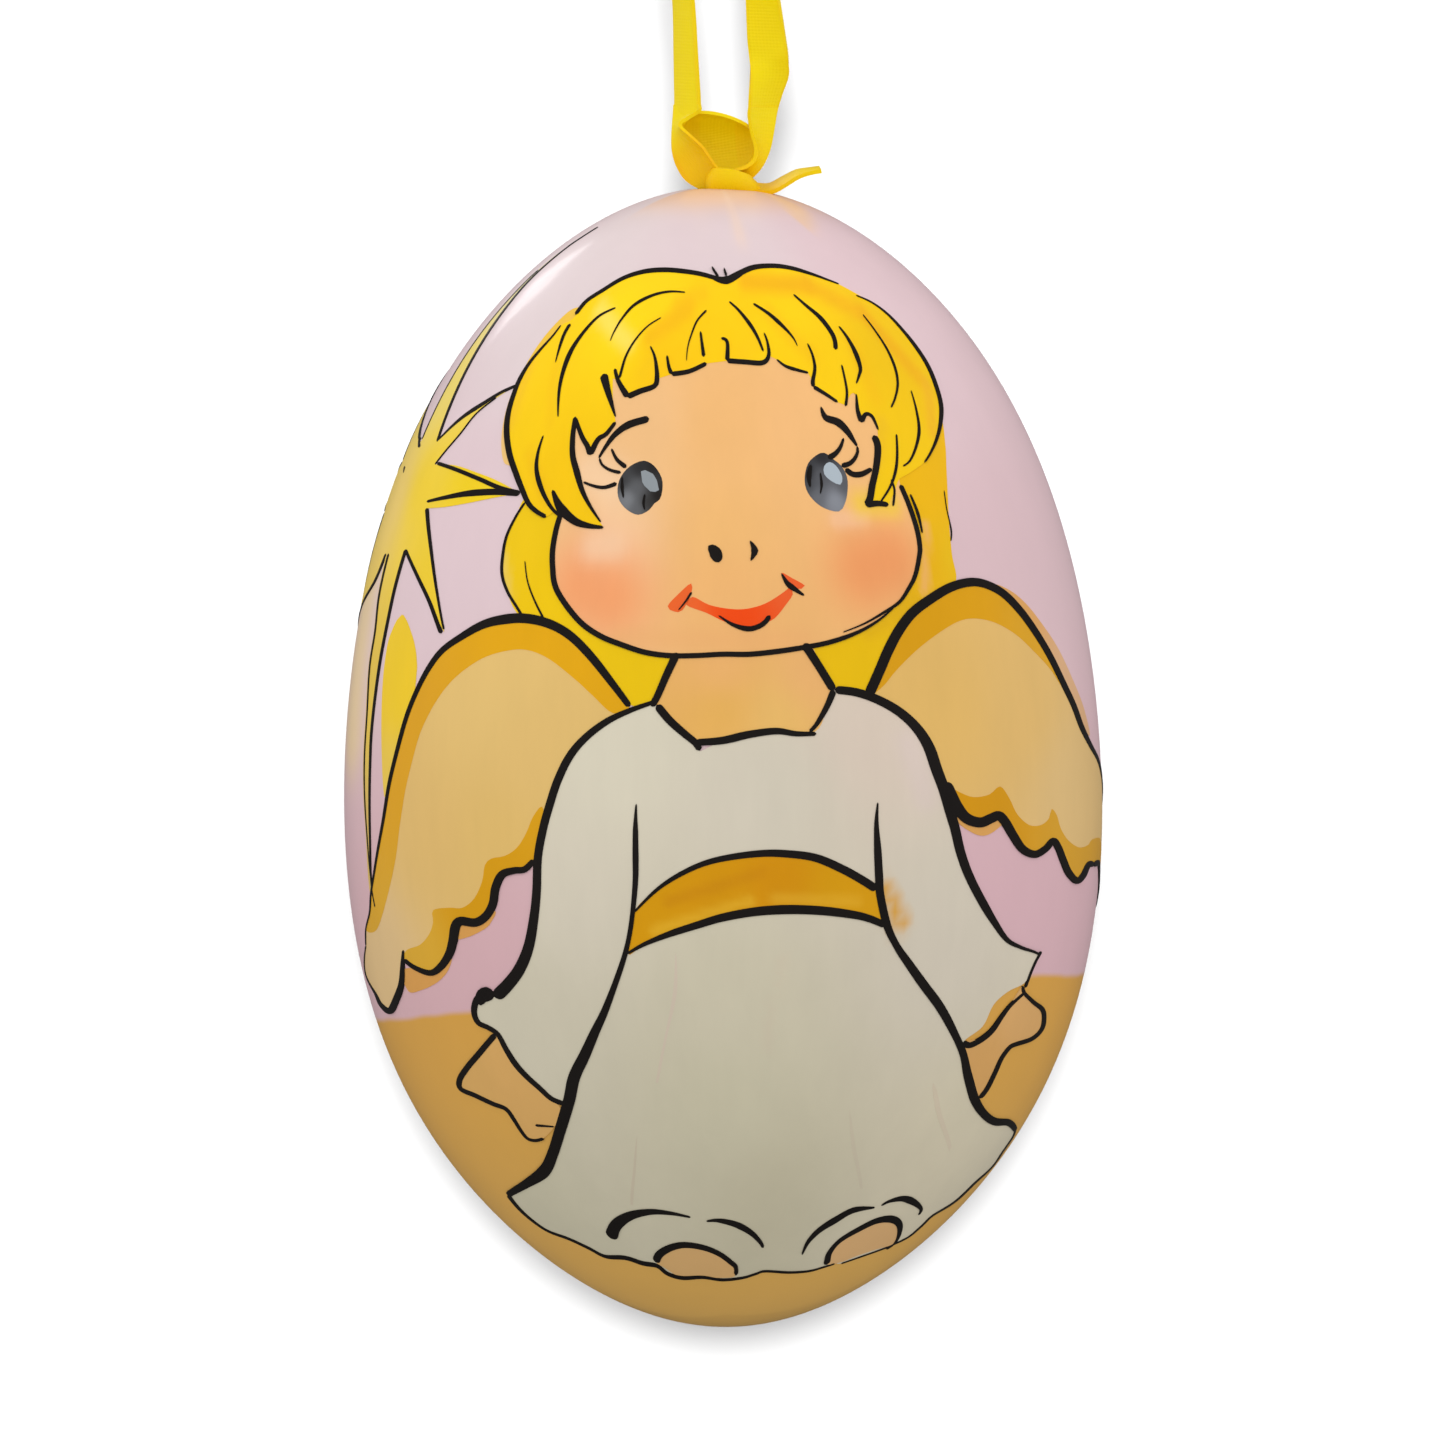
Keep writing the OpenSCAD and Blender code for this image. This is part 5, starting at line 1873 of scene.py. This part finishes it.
@dataclass
class HangingRibbon:
    """The satin ribbon: one loop with two strands, the knot over the egg's top, and the cut tail."""

    width: float = 3.0
    bow: float = 0.12
    declared_length: float = 0.074
    left_feet: tuple[tuple[float, float, float, float], ...] = (
        (-34.5, -3.12, -1.35, -1), (-33.4, -3.1, -1.32, -1), (-30, -3.12, -1.5, -1), (-26, -3.17, -1.72, -1),
    )
    right_feet: tuple[tuple[float, float, float, float], ...] = (
        (-26, 2.33, 4.78, -1), (-28.8, 2.38, 5.22, -1), (-30.2, 2.5, 5.4, -1), (-31.6, 2.55, 5.42, 1),
        (-33.1, 2.5, 4.85, 1), (-34.4, 2.45, 4.45, 1), (-35.3, 2.5, 4.3, 1),
    )
    top_left: tuple[tuple[float, float, float], ...] = (
        (-2.85, -22, 64), (-3.1, -18, 70), (-3.6, -15, 76), (-4.4, -12, 82), (-5.3, -9, 87), (-5.9, -6.5, 90),
        (-5.9, -4.5, 90), (-5, -2.2, 90), (-3.2, -0.6, 90), (-1.1, 0.1, 90),
    )
    top_right: tuple[tuple[float, float, float], ...] = (
        (1.1, 0.1, 90), (3.2, -0.6, 90), (5, -2.2, 90), (5.9, -4.5, 90), (5.9, -6.5, 90), (5.3, -9, 86),
        (4.4, -12, 80), (3.6, -15, 72), (3.1, -18, 62), (3.2, -22, 50),
    )
    route_rise: tuple[tuple[float, float, float], ...] = (
        (-2.4, 0, -33.4), (-2.5, 0.1, -31), (-2.8, 0.2, -28), (-2.9, 0.1, -25), (-3, 0, -22), (-3, 0, -20),
    )
    route_fall: tuple[tuple[float, float, float], ...] = (
        (3, 0, -20), (3, 0, -22), (3.2, 0.1, -25), (3.3, 0.2, -28), (2.9, 0.1, -31), (2.5, 0, -33.4),
    )
    leaves_at: tuple[float, float, float] = (-0.0024, 0.0, -0.0334)
    bend_from: float = -0.017
    bend_to: float = -0.023

    @property
    def route(self) -> list[tuple[float, ...]]:
        """The cord's route in metres, up through the loop's top and down again."""
        top = [(across, 0.0, height) for across, height, _ in self.top_left[1:] + self.top_right[:-1]]
        return [tuple(c * MM for c in place) for place in (*self.route_rise, *top, *self.route_fall)]

    def _foot(self, height: float, left: float, right: float, slant: float) -> Station:
        """Make a cross-section of a strand from where its edges show.

        Args:
            height: its height.
            left: where its left edge shows.
            right: where its right edge shows.
            slant: 1 if its right edge lies further back than its left edge, -1 if further forward.

        Returns:
            The cross-section.
        """
        back = math.sqrt(max(0.0, self.width**2 - (right - left) ** 2)) / 2 * slant
        return Station((left, -back, height), (right, back, height), self.bow)

    def _crown(self, across: float, height: float, turn: float) -> Station:
        """Make a cross-section of the loop's upper part.

        Args:
            across: where its middle is, left or right.
            height: its height.
            turn: how far its right edge is turned forward, in degrees.

        Returns:
            The cross-section.
        """
        half = self.width / 2
        x, y = half * math.cos(math.radians(turn)), -half * math.sin(math.radians(turn))
        return Station((across - x, -y, height), (across + x, y, height), self.bow)

    def _stations(self) -> list[Station]:
        """Cross-sections along the whole loop, from the left foot over the top to the right foot."""
        crown = [self._crown(*mark) for mark in self.top_left + self.top_right]
        left, right = ([self._foot(*mark) for mark in marks] for marks in (self.left_feet, self.right_feet))
        return left + crown + right

    def build(self, material: Material) -> None:
        """Make the ribbon loop, the knot and the tail; only the knot and the tail are fixed to a body.

        Args:
            material: the ribbon's finish.
        """
        loop = RibbonStrip().build("satin_hanging_loop", self._stations(), material)
        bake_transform(loop)
        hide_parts("ribbon_loop", "ribbon_strands")
        Knot().build(material)


@dataclass
class Knot:
    """The folded knot on the egg's top and the ribbon's cut tail."""

    step: float = 0.22
    across: int = 12
    # The last value of each cross-section is painted shade, darker satin in the knot's folds, pocket and
    # tail.
    back: tuple[Station, ...] = (
        Station((-1.6, 0.1, -34.35), (2.25, 0.1, -35.35), 0.35, -0.1),
        Station((-2.4, 0.5, -34.6), (2.5, 0.5, -35.6), 0.4, -0.1),
        Station((-3.1, 1.1, -35.7), (3.1, 1, -36.4), 0.5, -0.1),
        Station((-2.9, 1.2, -37.3), (3.2, 1.1, -37.8), 0.6, -0.1),
        Station((-1.6, 0.7, -39), (2.7, 0.7, -39.2), 0.5, 0),
        Station((-0.2, -0.2, -40), (1.8, -0.2, -40.1), 0.2, 0.1),
    )
    left: tuple[Station, ...] = (
        Station((-3.17, 1.1, -33.75), (-1.3, -1.3, -33.75), 0.12, -0.1),
        Station((-3.22, 1, -34.4), (-1.3, -1.4, -34.25), 0.12, -0.05),
        Station((-3.28, 0.8, -35.2), (-2.1, -1.5, -34.75), 0.15, 0),
        Station((-3.32, 0.6, -36.1), (-2.8, -1.6, -35.3), 0.3, 0.2),
        Station((-3.32, 0.3, -37.2), (-2.05, -2, -36.1), 0.5, 0.5),
        Station((-3.05, 0, -38.3), (-1.1, -2.3, -37), 0.6, 0.7),
        Station((-2.35, -0.4, -39.45), (-0.5, -2.4, -37.9), 0.5, 0.7),
        Station((-1.1, -0.8, -40.15), (0.05, -2.3, -38.6), 0.35, 0.6),
        Station((0.5, -0.9, -40.2), (0.8, -2, -38.9), 0.2, 0.5),
    )
    right: tuple[Station, ...] = (
        Station((2.46, -1.25, -34), (4.56, 0.9, -34), 0.12, 0),
        Station((2.4, -1.35, -34.7), (4.4, 0.7, -34.7), 0.15, 0),
        Station((2.6, -1.6, -35.9), (4.2, 0.3, -35.9), 0.3, 0.1),
        Station((2.9, -1.9, -37), (3.9, -0.1, -37.2), 0.4, 0.25),
        Station((2.85, -2.1, -37.9), (3.4, -0.5, -38.3), 0.4, 0.4),
        Station((2.2, -2.2, -38.5), (2.65, -0.7, -39.2), 0.3, 0.6),
        Station((1.2, -2.1, -38.8), (1.6, -0.7, -39.8), 0.2, 0.6),
    )
    wrap: tuple[Station, ...] = (
        Station((-0.3, -0.4, -38.7), (-0.8, -0.4, -40.2), 0.2, 0.6),
        Station((-0.15, -2.2, -38.6), (-0.6, -1.9, -40.25), 0.2, 0.6),
        Station((0.7, -2.7, -38.65), (0.6, -2.3, -40.3), 0.2, 0.35),
        Station((1.5, -2.6, -38.8), (1.7, -2.3, -40.35), 0.2, 0.4),
        Station((2.2, -1.9, -39.1), (2.7, -1.8, -40.4), 0.15, 0.5),
        Station((2.5, -0.8, -39.4), (3.2, -0.7, -40.4), 0.1, 0.6),
    )
    tail: tuple[Station, ...] = (
        Station((1.6, -1.9, -40.2), (1.6, 1, -39.6), 0.1, 0.6),
        Station((2.9, -1.9, -40.4), (2.8, 1.1, -39.8), 0.1, 0.6),
        Station((4.1, -1.7, -40.45), (3.9, 1.3, -39.85), -0.1, 0.6),
        Station((5.1, -1.5, -39.95), (4.9, 1.5, -39.35), -0.15, 0.4),
        Station((6.1, -1.3, -39.35), (5.95, 1.5, -38.85), -0.15, 0.25),
        Station((7, -1.2, -39.05), (6.9, 1.4, -38.7), -0.1, 0.2),
        Station((7.85, -1.1, -38.9), (7.7, 1.2, -38.6), 0, 0.2),
    )

    def build(self, material: Material) -> None:
        """Fold the knot from four bands, add the cut tail and fix them all to the knot's body.

        Args:
            material: the ribbon's finish.
        """
        strip = RibbonStrip(step=self.step, across=self.across)
        bands = {
            "knot_back_fold": self.back,
            "knot_left_fold": self.left,
            "knot_right_fold": self.right,
            "knot_wrap": self.wrap,
            "ribbon_cut_tail": self.tail,
        }
        for name, stations in bands.items():
            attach(strip.build(name, stations, material), Body.KNOT.value)
        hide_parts("ribbon_knot")
        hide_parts("ribbon_tail")


@dataclass
class HiddenFastening:
    """The ribbon's end and the toggle stick inside the shell, which keep the model's own shapes."""

    ribbon_nodes: tuple[str, ...] = ("ribbon_lead", "ribbon_hitch")
    stick_node: str = "toggle_stick"

    def dress(self, satin: Material, wood: Material) -> None:
        """Give the kept nodes their finishes.

        Args:
            satin: the ribbon's finish.
            wood: the stick's finish.
        """
        for name in self.ribbon_nodes:
            self._coat(name, satin)
        self._coat(self.stick_node, wood)

    @staticmethod
    def _coat(name: str, material: Material) -> None:
        """Put one material in every slot of a kept node.

        Args:
            name: the node's name.
            material: its finish.
        """
        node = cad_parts[name]
        for slot in node.material_slots:
            slot.material = material
        log.info("%s: kept node dressed", name)


@dataclass(frozen=True)
class Lamp:
    """One square soft box, in metres and watts.

    A mirrored lamp is a glint that only the varnish shows; any other lamp lights without a mirror image.
    """

    name: str
    place: tuple[float, float, float]
    side: float
    power: float
    mirrored: bool


@dataclass
class Studio:
    """The camera, the soft lights, the white card and the pale floor; sizes are in metres."""

    distance: float = 4.0
    field: float = 0.109
    aim: tuple[float, float] = (0.00002, -0.0804)
    sensor: float = 36.0
    clip: tuple[float, float] = (0.1, 50.0)
    lamps: tuple[Lamp, ...] = (
        Lamp("soft_key", (-0.1, -0.9, 0.6), 0.8, 1.0, False),
        Lamp("rim_glint", (-0.48, 0.89, 0.5), 0.2, 1.0, True),
    )
    lamp_target: tuple[float, float, float] = (0.0, 0.0, -0.08)
    ambient: float = 0.87
    from_above: float = 0.3
    from_right: float = 0.02
    from_sides: float = 0.12
    mirrored: float = 0.1
    disc_segments: int = 96
    fade_end: float = 0.97
    card_depth: float = 0.15
    card_radius: float = 0.22
    card_fade: float = 0.5
    card_shade: float = 0.45
    card_glow: float = 0.03
    shadow_power: float = 4.8
    shadow_softness: float = 1.6
    shadow_drop: float = 1.1
    floor_height: float = -0.165
    floor_shade: float = 0.8
    floor_roughness: float = 0.9
    floor_radius: float = 0.6
    floor_fade: float = 0.3

    def camera(self) -> None:
        """Place the camera straight in front of the egg, with a very long lens."""
        data = bpy.data.cameras.new("studio_camera")
        data.sensor_width = self.sensor
        data.lens = self.sensor * self.distance / self.field
        data.clip_start, data.clip_end = self.clip
        camera = bpy.data.objects.new("studio_camera", data)
        roll = Matrix.Rotation(QUARTER_TURN, 4, "X") @ Matrix.Rotation(-CAMERA_ROLL, 4, "Z")
        camera.matrix_world = Matrix.Translation((self.aim[0], -self.distance, self.aim[1])) @ roll
        bpy.context.scene.collection.objects.link(camera)
        bpy.context.scene.camera = camera

    def _hang(self, lamp: Lamp) -> None:
        """Hang one soft box so that it faces the egg.

        Args:
            lamp: the box.
        """
        data = bpy.data.lights.new(lamp.name, "AREA")
        data.size = lamp.side
        data.energy = lamp.power
        box = bpy.data.objects.new(lamp.name, data)
        box.visible_glossy = lamp.mirrored
        box.visible_diffuse = not lamp.mirrored
        place = Vector(lamp.place)
        facing = (Vector(self.lamp_target) - place).to_track_quat("-Z", "Y")
        box.matrix_world = Matrix.Translation(place) @ facing.to_matrix().to_4x4()
        bpy.context.scene.collection.objects.link(box)

    def lights(self) -> None:
        """Set the lamps, the world and the colour handling."""
        for lamp in self.lamps:
            self._hang(lamp)
        world = bpy.data.worlds.new("studio")
        bpy.context.scene.world = world
        world.use_nodes = True
        make = Nodes(world.node_tree)
        axes = make.split(make.place("Generated"))
        tilted = make.maths("MULTIPLY_ADD", axes["X"], self.from_right, self.ambient)
        sideways = make.maths("MULTIPLY", axes["X"], axes["X"])
        wider = make.maths("MULTIPLY_ADD", sideways, self.from_sides, tilted)
        falling = make.maths("MULTIPLY_ADD", axes["Z"], self.from_above, wider)
        path = make.add("ShaderNodeLightPath").outputs
        seen = make.maths("MAXIMUM", path["Is Camera Ray"], path["Is Transmission Ray"])
        kept = make.maths("SUBTRACT", 1.0, path["Is Glossy Ray"])
        dimmed = make.maths("MULTIPLY_ADD", kept, 1.0 - self.mirrored, self.mirrored)
        lit = make.maths("MULTIPLY", falling, dimmed)
        hidden = make.maths("SUBTRACT", 1.0, seen)
        strength = make.maths("MULTIPLY_ADD", lit, hidden, seen)
        make.feed(world.node_tree.nodes["Background"], {"Color": grey(1.0), "Strength": strength})
        bpy.context.scene.view_settings.view_transform = "Standard"

    def _disc(self, name: str, radius: float, where: Matrix) -> Object:
        """Make a flat round sheet that neither lights nor mirrors anything.

        Args:
            name: the sheet's name.
            radius: its radius.
            where: how it is turned and placed.

        Returns:
            The sheet, without a material.
        """
        shape = bmesh.new()
        bmesh.ops.create_circle(
            shape, cap_ends=True, segments=self.disc_segments, radius=radius, matrix=where
        )
        sheet = object_from(shape, name)
        sheet.visible_diffuse = False
        sheet.visible_glossy = False
        return sheet

    def _card_material(self) -> Material:
        """Make the card's white, which shows from the front only and fades out towards its rim.

        Returns:
            The material.
        """
        material, make, shader = new_material("white_card")
        material.node_tree.nodes.remove(shader)
        paper = make.add("ShaderNodeBsdfDiffuse", {"Color": grey(self.card_shade)}).outputs[0]
        glow = make.add("ShaderNodeEmission", {"Strength": self.card_glow}).outputs[0]
        lit = make.add("ShaderNodeAddShader", {0: paper, 1: glow}).outputs[0]
        clear = make.add("ShaderNodeBsdfTransparent").outputs[0]
        from_middle = make.vector("SUBTRACT", {0: make.place(), 1: (0.0, self.card_depth, self.aim[1])})
        inner, outer = self.card_radius * self.card_fade, self.card_radius * self.fade_end
        fade = make.ramp(make.length(from_middle), inner, outer, kind="SMOOTHSTEP")
        behind = make.add("ShaderNodeNewGeometry").outputs["Backfacing"]
        share = make.maths("MAXIMUM", fade, behind)
        both = make.add("ShaderNodeMixShader", {0: share, 1: lit, 2: clear}).outputs[0]
        make.feed(material.node_tree.nodes["Material Output"], {"Surface": both})
        return material

    def backdrop_card(self) -> None:
        """Stand a white card behind the egg, and a lamp that only throws the egg's soft shadow on it."""
        upright = Matrix.Rotation(QUARTER_TURN, 4, "X")
        stand = Matrix.Translation((0.0, self.card_depth, self.aim[1])) @ upright
        card = self._disc("studio_card", self.card_radius, stand)
        card.data.materials.append(self._card_material())
        card.visible_shadow = False
        receivers = bpy.data.collections.new("shadow_receivers")
        receivers.objects.link(card)
        data = bpy.data.lights.new("shadow_sun", "SUN")
        data.energy = self.shadow_power
        data.angle = math.radians(self.shadow_softness)
        sun = bpy.data.objects.new("shadow_sun", data)
        sun.rotation_euler = (QUARTER_TURN - math.radians(self.shadow_drop), 0.0, 0.0)
        sun.light_linking.receiver_collection = receivers
        bpy.context.scene.collection.objects.link(sun)

    def floor(self) -> None:
        """Lay a round pale floor that fades out at its rim."""
        low = Matrix.Translation((0.0, 0.0, self.floor_height))
        sheet = self._disc("studio_floor", self.floor_radius, low)
        material, make, shader = new_material("pale_floor")
        flat = make.vector("MULTIPLY", {0: make.place(), 1: (1.0, 1.0, 0.0)})
        inner, outer = self.floor_radius * self.floor_fade, self.floor_radius * self.fade_end
        fade = make.ramp(make.length(flat), inner, outer, (1.0, 0.0), "SMOOTHSTEP")
        values = {"Base Color": grey(self.floor_shade), "Roughness": self.floor_roughness, "Alpha": fade}
        make.feed(shader, values)
        sheet.data.materials.append(material)


def main() -> None:
    """Build every part of the hanging egg in order."""
    logging.basicConfig(level=logging.INFO, format="%(name)s %(message)s")
    studio = Studio()
    studio.camera()
    satin = SatinFinish()
    HangingRibbon().build(satin.build(True))
    effects = SharedEffects()
    canvas = Canvas()
    shell_paint = ShellFinish("sky_and_earth_coats").build(effects)
    painter = Painter(
        canvas,
        PaintFinish("brushed_colours").build(effects),
        InkFinish("black_brush_line").build(effects),
    )
    Shell(canvas.form).build(canvas, shell_paint)
    for motif in (StarOfLight(), BackHair(), Wings(), Gown(), HandsAndFeet(), Face(), Hair()):
        motif.build(painter)
    HiddenFastening().dress(satin.build(False), WoodFinish().build())
    studio.lights()
    studio.floor()
    studio.backdrop_card()


if __name__ == "__main__":
    main()
